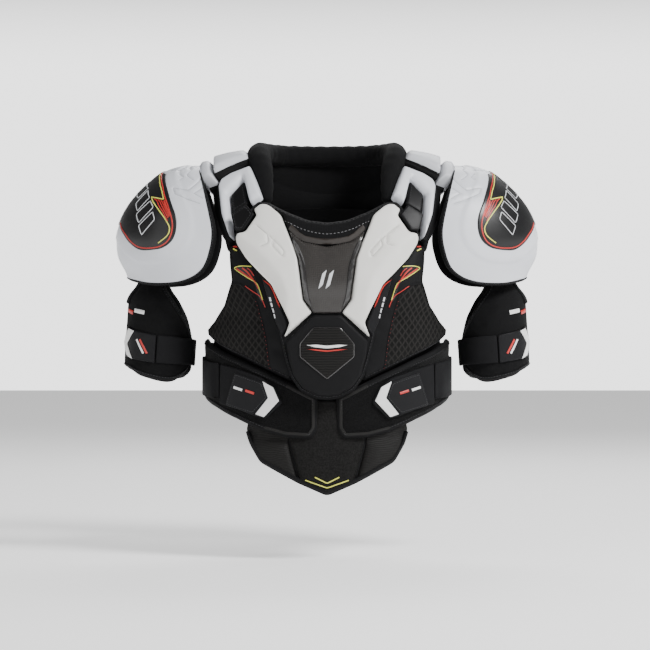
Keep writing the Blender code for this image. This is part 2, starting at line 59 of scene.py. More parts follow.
# ------------------------------------------------------------------ torso charts
POWER = 2.4
WAIST_HALF_WIDTH, CHEST_HALF_WIDTH = 146.0, 185.0
WAIST_Z, WAIST_TO_CHEST = -170.0, 120.0
FRONT_DEPTH, FRONT_SWELL, FRONT_SWELL_Z, FRONT_SWELL_REACH = 108.0, 6.0, -120.0, 70.0
BACK_DEPTH, BACK_SWELL, BACK_SWELL_Z, BACK_SWELL_REACH = 96.0, 10.0, -70.0, 60.0
SHOULDER_TOP_Z, SHOULDER_SLOPE, NECK_HALF_WIDTH = 58.0, 0.25, 70.0
FRONT_DROP, BACK_DROP = 170.0, 130.0
GIRTH_HALF_WIDTH, GIRTH_FRONT_DEPTH, GIRTH_BACK_DEPTH = 156.0, 122.0, 110.0
GIRTH_ANGLE = np.linspace(0.0, math.pi, 721)
SHOULDER_ARC = 2.6  # chart millimetres for each degree over the shoulder


def rounded(t):
    return np.abs(t) ** (2.0 / POWER)


def girth_lengths():
    depth = np.where(GIRTH_ANGLE <= math.pi / 2, GIRTH_FRONT_DEPTH, GIRTH_BACK_DEPTH)
    x = GIRTH_HALF_WIDTH * rounded(np.sin(GIRTH_ANGLE))
    y = -np.sign(np.cos(GIRTH_ANGLE)) * depth * rounded(np.cos(GIRTH_ANGLE))
    return np.concatenate([[0.0], np.cumsum(np.hypot(np.diff(x), np.diff(y)))])


GIRTH = girth_lengths()


def unit(vectors):
    return vectors / (np.linalg.norm(vectors, axis=-1, keepdims=True) + TINY)


def smooth(t):
    t = np.clip(t, 0.0, 1.0)
    return t * t * (3.0 - 2.0 * t)


def half_width(z):
    rise = CHEST_HALF_WIDTH - WAIST_HALF_WIDTH
    return WAIST_HALF_WIDTH + rise * smooth((z - WAIST_Z) / WAIST_TO_CHEST)


def depth_at(z, front):
    ahead = FRONT_DEPTH + FRONT_SWELL * np.exp(-(((z - FRONT_SWELL_Z) / FRONT_SWELL_REACH) ** 2))
    behind = BACK_DEPTH + BACK_SWELL * np.exp(-(((z - BACK_SWELL_Z) / BACK_SWELL_REACH) ** 2))
    return np.where(front, ahead, behind)


def crest(x):
    return SHOULDER_TOP_Z - SHOULDER_SLOPE * np.maximum(np.abs(x), NECK_HALF_WIDTH)


def torso_point(side, angle, cosine, z, h):
    front = angle <= math.pi / 2
    sine = np.sqrt(np.maximum(0.0, 1.0 - cosine * cosine))
    x = side * (half_width(z) + h) * rounded(np.sin(angle))
    y = (depth_at(z, front) + h) * rounded(np.cos(angle)) * sine
    return np.stack([x, np.where(front, -y, y), z + h * cosine], axis=-1)


def torso(s, z, h):
    """Distance around from the front centre, torso height, height above the torso."""
    s, z, h = np.broadcast_arrays(np.asarray(s, float), z, h)
    around = np.abs(s)
    wrapped = around > GIRTH[-1]
    side = np.where(wrapped, -np.sign(s), np.sign(s + 1e-12))
    angle = np.interp(np.where(wrapped, 2.0 * GIRTH[-1] - around, around), GIRTH, GIRTH_ANGLE)
    drop = np.where(angle <= math.pi / 2, FRONT_DROP, BACK_DROP)
    x = half_width(z) * rounded(np.sin(angle))
    cosine = np.clip((z - crest(x) + drop) / drop, 0.0, 1.0)
    return torso_point(side, angle, cosine, z, h)


def shoulder(x, arc, h):
    """Torso x, distance forward (+) or back (-) of the shoulder crest, height."""
    x, arc, h = np.broadcast_arrays(np.asarray(x, float), arc, h)
    front = arc >= 0.0
    cosine = np.cos(np.radians(arc / SHOULDER_ARC))
    z = crest(x) - np.where(front, FRONT_DROP, BACK_DROP) * (1.0 - cosine)
    angle = np.arcsin(np.minimum(np.abs(x) / half_width(z), 1.0) ** (POWER / 2.0))
    return torso_point(np.sign(x + 1e-12), np.where(front, angle, math.pi - angle), cosine, z, h)


def seen(points, h, front=True):
    """Outline drawn in the front or back view at height h, as torso chart values."""
    chart = []
    drop = FRONT_DROP if front else BACK_DROP
    for x, z in points:
        width = CHEST_HALF_WIDTH
        for _ in range(12):
            ground = abs(x) * width / (width + h)
            cosine = (z - crest(ground) + drop) / (drop + h)
            level = z - h * cosine if cosine > 0.0 else z
            width = half_width(level)
        angle = math.asin(min(abs(x) / (width + h), 1.0) ** (POWER / 2.0))
        if not front:
            angle = math.pi - angle
        s = float(np.interp(angle, GIRTH_ANGLE, GIRTH))
        if not front and x < 0.0:
            s = 2.0 * float(GIRTH[-1]) - s
            chart.append((s, float(level)))
        else:
            chart.append((math.copysign(s, x), float(level)))
    return chart


# -------------------------------------------------------------------- cap chart
# Rows of height share, z, half depth, centre x and reach in x.
CAP_ROWS = np.array((
    (-14.0, -116.0, 83.0, 149.5, 107.0),
    (0.0, -98.0, 87.5, 149.0, 111.0),
    (20.0, -72.0, 91.0, 148.0, 124.0),
    (40.0, -42.0, 90.0, 145.5, 126.0),
    (60.0, -8.0, 80.0, 151.0, 105.0),
    (80.0, 23.0, 57.0, 158.5, 68.5),
    (92.0, 38.0, 35.0, 163.0, 41.0),
    (100.0, 47.0, 3.0, 165.0, 4.0),
))
CAP_U = 1.8  # chart millimetres for each degree around
CAP_V = 1.5  # chart millimetres for each hundredth of the height


def cap_table():
    """Dense smooth rows of the cap."""
    shares = np.linspace(CAP_ROWS[0, 0], CAP_ROWS[-1, 0], 457)
    rows = CAP_ROWS
    out = np.zeros((len(shares), 4))
    for j, share in enumerate(shares):
        i = min(int(np.searchsorted(rows[:, 0], share, side="left")) - 1, len(rows) - 2)
        i = max(i, 0)
        before = rows[max(i - 1, 0)]
        after = rows[min(i + 2, len(rows) - 1)]
        low, high = rows[i], rows[i + 1]
        span = high[0] - low[0]
        t = (share - low[0]) / span
        m0 = (high[1:] - before[1:]) / (high[0] - before[0]) * span
        m1 = (after[1:] - low[1:]) / (after[0] - low[0]) * span
        rise = high[1:] - low[1:]
        out[j] = low[1:] + t * (m0 + t * ((3 * rise - 2 * m0 - m1) + t * (m0 + m1 - 2 * rise)))
    return shares, out


CAP_SHARES, CAP_VALUES = cap_table()


def cap_face(degrees, share):
    z, depth, centre, reach = (np.interp(share, CAP_SHARES, CAP_VALUES[:, k]) for k in range(4))
    angle = np.radians(degrees)
    return np.stack([centre + reach * np.cos(angle), depth * np.sin(angle), z], axis=-1)


def cap(u, v, h):
    """Cap chart: u around from the outermost line (front is -), v up, height."""
    u, v, h = np.broadcast_arrays(np.asarray(u, float), v, h)
    degrees, share = u / CAP_U, v / CAP_V
    along = cap_face(degrees + 0.5, share) - cap_face(degrees - 0.5, share)
    up = (cap_face(degrees, np.minimum(share + 0.6, CAP_ROWS[-1, 0]))
          - cap_face(degrees, np.maximum(share - 0.6, CAP_ROWS[0, 0])))
    return cap_face(degrees, share) + unit(np.cross(along, up)) * h[..., None]


def on_cap(points):
    """Points drawn in the front view (x, z) as cap chart values on the front half."""
    out = []
    for x, z in points:
        share = float(np.interp(z, CAP_VALUES[:, 0], CAP_SHARES))
        centre, reach = (float(np.interp(share, CAP_SHARES, CAP_VALUES[:, k])) for k in (2, 3))
        degrees = math.degrees(math.acos(min(max((x - centre) / reach, -1.0), 1.0)))
        out.append((-degrees * CAP_U, share * CAP_V))
    return out


# -------------------------------------------------------------------- arm chart
ARM_U = 0.8  # chart millimetres for each degree around
ARM_INNER_RADIUS = 34.0


def arm(u, z, h):
    """Arm chart: u around from the outermost line (front is -), z, height over the inner face."""
    u, z, h = np.broadcast_arrays(np.asarray(u, float), z, h)
    centre = np.interp(-z, (97.0, 120.0, 230.0), (209.0, 213.0, 220.0))
    radius = ARM_INNER_RADIUS + h - 13.0 * smooth((z + 134.0) / 32.0)
    angle = np.radians(u / ARM_U)
    return np.stack([centre + radius * np.cos(angle), radius * np.sin(angle), z], axis=-1)


def nape(x, rise, h):
    """Nape chart: x across, distance up from the lower edge, distance outward."""
    x, rise, h = np.broadcast_arrays(np.asarray(x, float), rise, h)
    share = rise / 42.0
    low = np.stack([x, 88.0 * np.sqrt(1 - (x / 112.0) ** 2), 9.0 + 22.0 * (x / 82.0) ** 2], axis=-1)
    high = np.stack([x, 84.0 * np.sqrt(1 - (x / 94.0) ** 2), 47.0 + 4.0 * (x / 82.0) ** 2], axis=-1)
    centre = low + (high - low) * share[..., None]
    outward = centre * np.array((1.0, 1.0, 0.0))
    outward /= np.linalg.norm(outward, axis=-1, keepdims=True)
    return centre + outward * h[..., None]


# ---------------------------------------------------------------- plane geometry
def whole(half):
    return list(half) + [(-x, z) for x, z in reversed(half) if abs(x) > 1e-6]


def ccw(points):
    points = [tuple(map(float, p)) for p in points]
    p = np.asarray(points, float)
    q = np.roll(p, -1, axis=0)
    return points if float(np.sum(p[:, 0] * q[:, 1] - q[:, 0] * p[:, 1])) > 0 else points[::-1]


def ease_corners(points, radius, closed=True, steps=4):
    """Replace each corner by a short curve."""
    if radius <= 0:
        return list(points)
    p = [np.array(q, float) for q in points]
    n = len(p)
    out = []
    for i in range(n):
        if not closed and i in (0, n - 1):
            out.append(tuple(p[i]))
            continue
        a, b, c = p[i - 1], p[i], p[(i + 1) % n]
        la, lc = np.linalg.norm(a - b), np.linalg.norm(c - b)
        r = min(radius, 0.45 * la, 0.45 * lc)
        start = b + (a - b) / (la + 1e-9) * r
        end = b + (c - b) / (lc + 1e-9) * r
        for k in range(steps + 1):
            t = k / steps
            out.append(tuple((1 - t) ** 2 * start + 2 * t * (1 - t) * b + t * t * end))
    return out


def flow(points, steps=5):
    """Smooth curve through points."""
    p = [np.array(q, float) for q in points]
    n = len(p)
    out = []
    for i in range(n - 1):
        a, b, c, d = (p[min(max(i + k, 0), n - 1)] for k in (-1, 0, 1, 2))
        for k in range(steps):
            t = k / steps
            out.append(tuple(0.5 * (2 * b + (c - a) * t + (2 * a - 5 * b + 4 * c - d) * t * t
                                    + (3 * b - a - 3 * c + d) * t ** 3)))
    return out + [tuple(p[-1])]


def resample(points, spacing):
    """Points along a closed line no further apart than spacing."""
    p = [np.array(q, float) for q in points]
    p.append(p[0])
    out = []
    for a, b in zip(p, p[1:]):
        length = np.linalg.norm(b - a)
        if length < 1e-6:
            continue
        count = max(1, int(math.ceil(length / spacing)))
        for k in range(count):
            out.append(a + (b - a) * k / count)
    return np.array(out)


def even(points, spacing, closed=False):
    """Points at equal distances along a line, with their unit directions."""
    p = np.asarray(points, float)
    if closed:
        p = np.vstack([p, p[:1]])
    lengths = np.hypot(*(np.diff(p, axis=0)).T)
    keep = np.concatenate([[True], lengths > 1e-6])
    p = p[keep]
    travelled = np.concatenate([[0.0], np.cumsum(np.hypot(*(np.diff(p, axis=0)).T))])
    count = max(2, int(round(travelled[-1] / spacing)) + (0 if closed else 1))
    at = np.linspace(0.0, travelled[-1], count, endpoint=not closed)

    def where(distance):
        return np.stack([np.interp(distance, travelled, p[:, k]) for k in (0, 1)], axis=1)

    step = 0.5 * spacing
    ahead, behind = where(np.minimum(at + step, travelled[-1])), where(np.maximum(at - step, 0.0))
    return where(at), unit(ahead - behind), at


def to_left(direction):
    return np.stack([-direction[:, 1], direction[:, 0]], axis=1)


def walk(line, spacing, ease, closed):
    """Even points along an eased line, their directions, the directions to their left, the distances."""
    pos, direction, at = even(ease_corners(line, ease, closed), spacing, closed)
    return pos, direction, to_left(direction), at


def line_distance(q, line, closed=False):
    """Distance from each point to a polyline."""
    p = np.asarray(line, float)
    if closed:
        p = np.vstack([p, p[:1]])
    best = np.full(len(q), 1e9)
    for a, b in zip(p, p[1:]):
        ab = b - a
        t = np.clip(((q - a) @ ab) / (ab @ ab + 1e-12), 0.0, 1.0)
        best = np.minimum(best, np.linalg.norm(q - a - t[:, None] * ab, axis=1))
    return best


def inside(q, polygon):
    p = np.asarray(polygon, float)
    hit = np.zeros(len(q), bool)
    for a, b in zip(p, np.roll(p, -1, axis=0)):
        crosses = (a[1] > q[:, 1]) != (b[1] > q[:, 1])
        with np.errstate(divide="ignore", invalid="ignore"):
            x = (b[0] - a[0]) * (q[:, 1] - a[1]) / (b[1] - a[1]) + a[0]
        hit ^= crosses & (q[:, 0] < x)
    return hit


def nearest_line(q, lines):
    return np.min([line_distance(q, line) for line in lines], axis=0)


def groove(lines, width, depth):
    """Relief that sinks along lines."""
    return lambda q, d: -depth * np.exp(-((nearest_line(q, lines) / width) ** 2))


# ------------------------------------------------------------------- mesh making
def tree_of(points):
    """Search tree over points of two or three coordinates."""
    tree = kdtree.KDTree(len(points))
    for i, p in enumerate(points):
        tree.insert((*p, 0.0)[:3], i)
    tree.balance()
    return tree


def build(name, points, faces, uv, look, body, gone=(), side=1.0, sharp=45.0, pad=None):
    """Object from points in millimetres; side -1 mirrors it."""
    points = np.array(points, float) * MM
    faces = [tuple(f) for f in faces]
    if side < 0:
        points = points * (-1.0, 1.0, 1.0)
        faces = [f[::-1] for f in faces]
    mesh = bpy.data.meshes.new(name)
    mesh.from_pydata(points.tolist(), [], faces)
    layer = mesh.uv_layers.new(name="UVMap")
    index = np.zeros(len(mesh.loops), int)
    mesh.loops.foreach_get("vertex_index", index)
    layer.data.foreach_set("uv", (np.asarray(uv, float)[index] * MM).ravel())
    mesh.shade_smooth()
    mesh.set_sharp_from_angle(angle=math.radians(sharp))
    mesh.materials.append(look)
    tidy = bmesh.new()
    tidy.from_mesh(mesh)
    bmesh.ops.recalc_face_normals(tidy, faces=tidy.faces)
    tidy.to_mesh(mesh)
    tidy.free()
    piece = bpy.data.objects.new(name, mesh)
    bpy.context.scene.collection.objects.link(piece)
    if isinstance(body, str):
        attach(piece, body)
    else:
        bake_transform(piece)
    if gone:
        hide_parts(*gone)


def sided(text, side_name):
    return text.replace("*", side_name)


def place(name, points, faces, uv, look, body, gone=(), both=True, **options):
    """Build one piece, or a left and a right one when both is set."""
    for side_name, side in SIDES if both else (("", 1.0),):
        label = name + ("_" + side_name if both else "")
        gone_here = [sided(g, side_name) for g in gone]
        owner = sided(body, side_name) if isinstance(body, str) else tuple(
            sided(part, side_name) if isinstance(part, str) else part for part in body)
        build(label, points, faces, uv, look, owner, gone_here, side, **options)


def flat_mesh(outline, cell, edge, lines=(), line_width=1.0):
    """Triangles over an outline, with rings along its edge and rows along its lines."""
    rim = resample(outline, cell)
    n = len(rim)
    ahead = np.roll(rim, -1, axis=0) - np.roll(rim, 1, axis=0)
    inward = unit(to_left(ahead))
    extra = []
    for d in (0.12, 0.38, 0.75, 1.1):
        ring = rim + inward * edge * d
        ok = (line_distance(ring, rim, True) > edge * d * 0.93) & inside(ring, rim)
        extra.append(ring[ok])
    rows = []
    for line in lines:
        pos, direction, _ = even(line, line_width * 1.1)
        across = to_left(direction)
        for k in (-1.4, -0.6, 0.0, 0.6, 1.4):
            rows.append(pos + across * k * line_width)
    if rows:
        rows = np.vstack(rows)
        ok = inside(rows, rim)
        ok[ok] = line_distance(rows[ok], rim, True) > edge * 1.1
        rows = rows[ok]
    low, high = rim.min(axis=0), rim.max(axis=0)
    gx = np.arange(low[0], high[0] + cell, cell)
    gy = np.arange(low[1], high[1] + cell, cell * 0.866)
    grid = np.stack(np.meshgrid(gx, gy), axis=-1)
    grid[1::2, :, 0] += cell * 0.5
    grid = grid.reshape(-1, 2)
    grid = grid[inside(grid, rim)]
    grid = grid[line_distance(grid, rim, True) > edge * 1.1 + cell * 0.35]
    if len(rows):
        grid = grid[nearest_line(grid, lines) > line_width * 1.4 + cell * 0.35]
        extra.append(rows)
    pts = np.vstack([rim] + extra + [grid])
    coords = [Vector(p) for p in pts]
    edges = [(i, (i + 1) % n) for i in range(n)]
    verts, _, faces, origin, _, _ = delaunay_2d_cdt(coords, edges, [], 1, 1e-4)
    flat = np.array([tuple(v) for v in verts])
    where = np.zeros(n, int)
    for i, source in enumerate(origin):
        for j in source:
            if j < n:
                where[j] = i
    return flat, [tuple(f) for f in faces], where, rim


def puff(points, faces, free, pressure, cap_mm, frames, shrink):
    """Cloth pressure on a coarse copy, carried back to the fine points."""
    mesh = bpy.data.meshes.new("puff")
    mesh.from_pydata((points * MM).tolist(), [], faces)
    work = bpy.data.objects.new("puff", mesh)
    bpy.context.scene.collection.objects.link(work)
    remesh = work.modifiers.new("remesh", "REMESH")
    remesh.mode = "VOXEL"
    remesh.voxel_size = 0.0055
    depsgraph = bpy.context.evaluated_depsgraph_get()
    coarse = bpy.data.meshes.new_from_object(work.evaluated_get(depsgraph))
    work.modifiers.clear()
    work.data = coarse
    rest = np.array([tuple(v.co) for v in coarse.vertices])
    tree = tree_of(points * MM)
    group = work.vertex_groups.new(name="pin")
    for i, p in enumerate(rest):
        _, j, _ = tree.find(p)
        group.add([i], float(1.0 - free[j]), "REPLACE")
    cloth = work.modifiers.new("cloth", "CLOTH")
    setup = cloth.settings
    setup.quality = 4
    setup.mass = 0.25
    setup.tension_stiffness = 12.0
    setup.compression_stiffness = 12.0
    setup.bending_stiffness = 0.6
    setup.use_pressure = True
    setup.uniform_pressure_force = pressure
    setup.shrink_min = -shrink
    setup.vertex_group_mass = "pin"
    setup.effector_weights.gravity = 0.0
    scene = bpy.context.scene
    for f in range(1, frames + 1):
        scene.frame_set(f)
    depsgraph = bpy.context.evaluated_depsgraph_get()
    moved = np.array([tuple(v.co) for v in work.evaluated_get(depsgraph).data.vertices])
    scene.frame_set(1)
    shift = (moved - rest) / MM
    size = np.linalg.norm(shift, axis=1, keepdims=True)
    shift *= np.minimum(1.0, cap_mm / (size + 1e-9))
    bpy.data.objects.remove(work, do_unlink=True)
    tree = tree_of(rest)
    out = points.copy()
    for i, p in enumerate(points * MM):
        if free[i] <= 0.0:
            continue
        total = 0.0
        move = np.zeros(3)
        for _, j, distance in tree.find_n(p, 6):
            weight = 1.0 / (distance + 0.0008) ** 2
            total += weight
            move += shift[j] * weight
        out[i] += move / total * free[i]
    return out


def panel(name, outline, low, high, look, body, chart=torso, gone=(), cell=4.0, edge=2.5,
          wall=0.3, soft=0.0, relief=None, ease=3.0, lines=(), line_width=1.0, both=True,
          pad=None, inflate=None, sharp=45.0, backing=True):
    """Rounded slab over an outline, between two heights; returns the chart of its top face."""
    outline = ease_corners(ccw(outline), ease)
    lines = [np.asarray(line, float) for line in lines]
    flat, faces, where, rim = flat_mesh(outline, cell, edge, lines, line_width)
    d = line_distance(flat, rim, True)
    rise = wall + (1.0 - wall) * np.sqrt(np.clip(1.0 - (1.0 - np.clip(d / edge, 0, 1)) ** 2, 0, 1))
    h = low + (high - low) * rise + soft * (1.0 - np.exp(-((d / 14.0) ** 1.3)))
    if relief is not None:
        h = h + relief(flat, d) * smooth(d / (edge * 0.8))
    top = chart(flat[:, 0], flat[:, 1], h)
    n = len(flat)
    count = len(rim)
    points = [top, chart(rim[:, 0], rim[:, 1], np.full(count, low))]
    uv = [flat, rim]
    for i in range(count):
        j = (i + 1) % count
        faces.append((where[i], n + i, n + j, where[j]))
    if backing:
        under, under_faces, under_where, _ = flat_mesh(rim, 14.0, 6.0)
        coarse_rim = np.full(len(under), -1)
        base = n + count
        match = line_index(under, rim)
        for k, m in enumerate(match):
            coarse_rim[k] = n + m if m >= 0 else base + k
        points.append(chart(under[:, 0], under[:, 1], np.full(len(under), low)))
        uv.append(under)
        for f in under_faces:
            g = [coarse_rim[k] for k in f]
            if len(set(g)) == 3:
                faces.append(tuple(g[::-1]))
    points = np.vstack(points)
    uv = np.vstack(uv)
    used = np.zeros(len(points), bool)
    for f in faces:
        used[list(f)] = True
    lookup = np.cumsum(used) - 1
    faces = [tuple(int(lookup[k]) for k in f) for f in faces]
    points, uv = points[used], uv[used]
    if inflate is not None:
        free = np.zeros(len(used))
        free[:n] = smooth((d - 1.5) / 7.0)
        points = puff(points, faces, free[used], *inflate)
    place(name, points, faces, uv, look, body, gone, both, sharp=sharp, pad=pad)
    return surface_of(chart, high, flat[used[:n]], points[:int(used[:n].sum())])


def surface_of(chart, high, flat, top):
    """Chart whose heights start at a finished top face."""
    offset = top - chart(flat[:, 0], flat[:, 1], high)
    tree = tree_of(flat)

    def surface(u, v, h):
        u, v, h = np.broadcast_arrays(np.asarray(u, float), v, h)
        base = chart(u, v, h + high)
        out = np.zeros((u.size, 3))
        for k, p in enumerate(zip(u.ravel(), v.ravel())):
            near = tree.find_n((p[0], p[1], 0.0), 4)
            weights = np.array([1.0 / (n[2] + 0.05) ** 2 for n in near])
            out[k] = (offset[[n[1] for n in near]] * weights[:, None]).sum(axis=0) / weights.sum()
        return base + out.reshape(base.shape)

    return surface


def line_index(points, rim):
    """Index of the rim point that each point is, or -1."""
    tree = tree_of(rim)
    out = []
    for p in points:
        _, i, distance = tree.find((p[0], p[1], 0.0))
        out.append(i if distance < 1e-3 else -1)
    return out


def skin(rings, around, closed=False):
    """Quads from ring to ring, with a face over each end when the rings don't close."""
    faces = []
    for i in range(rings if closed else rings - 1):
        j = (i + 1) % rings
        for k in range(around):
            l = (k + 1) % around
            faces.append((i * around + k, i * around + l, j * around + l, j * around + k))
    if not closed:
        faces.append(tuple(range(around))[::-1])
        faces.append(tuple((rings - 1) * around + k for k in range(around)))
    return faces


def sweep(name, line, section, look, body, chart=torso, closed=True, both=True, spacing=4.0,
          ease=3.0):
    """Section of (distance to the left of the line, height) points carried along a line."""
    pos, _, left, at = walk(line, spacing, ease, closed)
    section = np.asarray(section, float)
    m = len(section)
    n = len(pos)
    flat = pos[:, None, :] + left[:, None, :] * section[None, :, 0, None]
    height = np.broadcast_to(section[None, :, 1], (n, m))
    points = chart(flat[..., 0], flat[..., 1], height).reshape(-1, 3)
    girth = np.concatenate([[0.0], np.cumsum(np.hypot(*np.diff(section, axis=0).T))])
    uv = np.stack(np.broadcast_arrays(at[:, None], girth[None, :]), axis=-1).reshape(-1, 2)
    place(name, points, skin(n, m, closed), uv, look, body, (), both)


def strip(name, line, width, h, look, body, chart=torso, closed=False, both=True, thick=0.5,
          ease=1.5, spacing=2.0, taper=0.0):
    """Printed or raised line of a width lying at height h; also draws painted shade along grooves."""
    pos, _, left, at = walk(line, spacing, ease, closed)
    n = len(pos)
    across = np.array((-0.5, -0.35, 0.0, 0.35, 0.5))
    lift = np.array((-0.8, 0.75, 1.0, 0.75, -0.8)) * thick
    scale = np.ones(n)
    if taper > 0.0 and not closed:
        end = np.minimum(at, at[-1] - at)
        scale = 0.08 + 0.92 * smooth(end / taper)
    flat = pos[:, None, :] + left[:, None, :] * (across[None, :, None] * width * scale[:, None, None])
    height = h + np.broadcast_to(lift[None, :], (n, 5))
    points = chart(flat[..., 0], flat[..., 1], height).reshape(-1, 3)
    uv = np.stack(np.broadcast_arrays(at[:, None], across[None, :] * width), axis=-1).reshape(-1, 2)
    faces = []
    for i in range(n if closed else n - 1):
        j = (i + 1) % n
        for k in range(4):
            faces.append((i * 5 + k, j * 5 + k, j * 5 + k + 1, i * 5 + k + 1))
    place(name, points, faces, uv, look, body, (), both)


def stitches(name, line, h, look, body, chart=torso, closed=False, both=True, pitch=4.0,
             length=2.8, width=0.75, inset=0.0, ease=3.0):
    """Row of raised thread stitches."""
    pos, direction, left, _ = walk(line, pitch, ease, closed)
    pos = pos + left * inset
    a = chart(pos[:, 0] - direction[:, 0] * length / 2, pos[:, 1] - direction[:, 1] * length / 2, h)
    b = chart(pos[:, 0] + direction[:, 0] * length / 2, pos[:, 1] + direction[:, 1] * length / 2, h)
    top = chart(pos[:, 0], pos[:, 1], h + width * 0.6)
    centre = 0.5 * (a + b)
    up = unit(top - centre)
    along = b - a
    size = np.linalg.norm(along, axis=1, keepdims=True)
    along /= size + 1e-9
    side = np.cross(along, up) * width * 0.5
    points = []
    faces = []
    n = len(pos)
    for t, r in ((-0.5, 0.15), (-0.3, 0.9), (0.0, 1.0), (0.3, 0.9), (0.5, 0.15)):
        middle = centre + along * size * t
        for s, v in ((1.0, 0.0), (0.0, 1.0), (-1.0, 0.0), (0.0, -0.7)):
            points.append(middle + side * s * r + up * width * 0.5 * v * r)
    points = np.stack(points, axis=1).reshape(-1, 3)
    for i in range(n):
        o = i * 20
        for ring in range(4):
            for k in range(4):
                l = (k + 1) % 4
                faces.append((o + ring * 4 + k, o + ring * 4 + l, o + ring * 4 + 4 + l,
                              o + ring * 4 + 4 + k))
        faces.append((o + 3, o + 2, o + 1, o))
        faces.append((o + 16, o + 17, o + 18, o + 19))
    uv = points[:, :2]
    place(name, points, faces, uv, look, body, (), both, sharp=80.0)


def tube(name, stations, look, body, gone=(), both=False, rings=72, around=28, relief=None, pad=None):
    """Smooth roll through x, y, z, radius stations, with rounded ends."""
    s = np.asarray(stations, float)
    base = np.linspace(0.0, 1.0, len(s))
    t = np.linspace(0.0, 1.0, rings)
    centre = np.stack([catmull(base, s[:, k], t) for k in range(4)], axis=1)
    radius = centre[:, 3]
    centre = centre[:, :3]
    along = np.gradient(centre, axis=0)
    along /= np.linalg.norm(along, axis=1, keepdims=True)
    across = np.cross(along, np.array((0.0, 0.0, 1.0)))
    across /= np.linalg.norm(across, axis=1, keepdims=True)
    over = np.cross(across, along)
    length = np.concatenate([[0.0], np.cumsum(np.linalg.norm(np.diff(centre, axis=0), axis=1))])
    end = np.minimum(length, length[-1] - length)
    round_end = np.sqrt(np.clip(1.0 - (1.0 - np.clip(end / (radius * 0.8), 0, 1)) ** 2, 0.0, 1.0))
    turn = np.linspace(0.0, 2.0 * math.pi, around, endpoint=False)
    swell = radius[:, None] * np.maximum(round_end, 0.05)[:, None] * np.ones(around)[None, :]
    if relief is not None:
        swell = swell + relief(length[:, None], turn[None, :])
    points = (centre[:, None, :] + across[:, None, :] * (np.cos(turn)[None, :, None] * swell[..., None])
              + over[:, None, :] * (np.sin(turn)[None, :, None] * swell[..., None]))
    uv = np.stack(np.broadcast_arrays(length[:, None], (turn * 12.0)[None, :]), axis=-1)
    place(name, points.reshape(-1, 3), skin(rings, around), uv.reshape(-1, 2), look, body, gone, both,
          pad=pad)


def catmull(x, y, t):
    slope = np.gradient(y, x)
    i = np.clip(np.searchsorted(x, t) - 1, 0, len(x) - 2)
    w = x[i + 1] - x[i]
    f = (t - x[i]) / w
    m0, m1, rise = slope[i] * w, slope[i + 1] * w, y[i + 1] - y[i]
    return y[i] + f * (m0 + f * ((3 * rise - 2 * m0 - m1) + f * (m0 + m1 - 2 * rise)))


class Shade:
    """Builder of one node material. Pattern lengths are millimetres."""

    def __init__(self, name, slot):
        self.material = bpy.data.materials.new(name)
        self.material.use_nodes = True
        self.tree = self.material.node_tree
        self.surface = self.tree.nodes["Principled BSDF"]
        split = self.node("SeparateXYZ", {0: self.node("UVMap", uv_map="UVMap").outputs[0]})
        self.u = self.math("MULTIPLY", split.outputs[0], 1000.0)
        self.v = self.math("MULTIPLY", split.outputs[1], 1000.0)
        self.place = self.node("TexCoord").outputs["Object"]

    def put(self, socket, value):
        if isinstance(value, bpy.types.NodeSocket):
            self.tree.links.new(value, socket)
        else:
            socket.default_value = value

    def node(self, kind, inputs=None, **settings):
        made = self.tree.nodes.new("ShaderNode" + kind)
        for key, value in settings.items():
            setattr(made, key, value)
        for key, value in (inputs or {}).items():
            self.put(made.inputs[key], value)
        return made

    def math(self, operation, a, b=0.0):
        return self.node("Math", {0: a, 1: b}, operation=operation).outputs[0]

    def lerp(self, factor, a, b):
        return self.node("Mix", {0: factor, 2: a, 3: b}).outputs[0]

    def mix(self, factor, a, b):
        return self.node("Mix", {0: factor, 6: a, 7: b}, data_type="RGBA").outputs[2]

    def range(self, value, a, b, c=0.0, d=1.0):
        return self.node("MapRange", {0: value, 1: a, 2: b, 3: c, 4: d}).outputs[0]

    def noise(self, size, detail=2.0):
        made = self.node("TexNoise", {"Vector": self.place, "Scale": 1000.0 / size, "Detail": detail})
        return made.outputs[0]

    def hump(self, value, pitch):
        return self.math("ABSOLUTE", self.math("SINE", self.math("MULTIPLY", value, math.pi / pitch)))

    def cell(self, value, pitch):
        return self.math("FLOOR", self.math("DIVIDE", value, pitch))


def weave(pitch, every=2.0, over=1.0):
    def pattern(s):
        steps = s.math("ADD", s.cell(s.u, pitch), s.cell(s.v, pitch))
        pick = s.math("LESS_THAN", s.math("FLOORED_MODULO", steps, every), over)
        return s.lerp(pick, s.hump(s.u, pitch), s.hump(s.v, pitch))
    return pattern


def ribs(pitch, along=True):
    return lambda s: s.hump(s.v if along else s.u, pitch)


def knit(pitch):
    def pattern(s):
        bend = s.math("MULTIPLY", s.hump(s.v, pitch), pitch * 0.5)
        return s.math("MULTIPLY", s.hump(s.math("ADD", s.u, bend), pitch),
                      s.range(s.hump(s.v, pitch), 0.0, 0.5))
    return pattern


def diamonds(across, high, hole_across, hole_high):
    """Staggered diamond holes: 0 in a hole, 1 between them."""
    def pattern(s):
        found = None
        for shift in (0.0, 0.5):
            a = s.math("PINGPONG", s.math("ADD", s.u, across * (shift + 20.0)), across * 0.5)
            b = s.math("PINGPONG", s.math("ADD", s.v, high * (shift + 40.0)), high * 0.5)
            far = s.math("ADD", s.math("DIVIDE", a, hole_across * 0.5),
                         s.math("DIVIDE", b, hole_high * 0.5))
            found = far if found is None else s.math("MINIMUM", found, far)
        return s.range(found, 0.8, 1.3)
    return pattern


def loops(size):
    return lambda s: s.range(s.noise(size, 3.0), 0.35, 0.65)


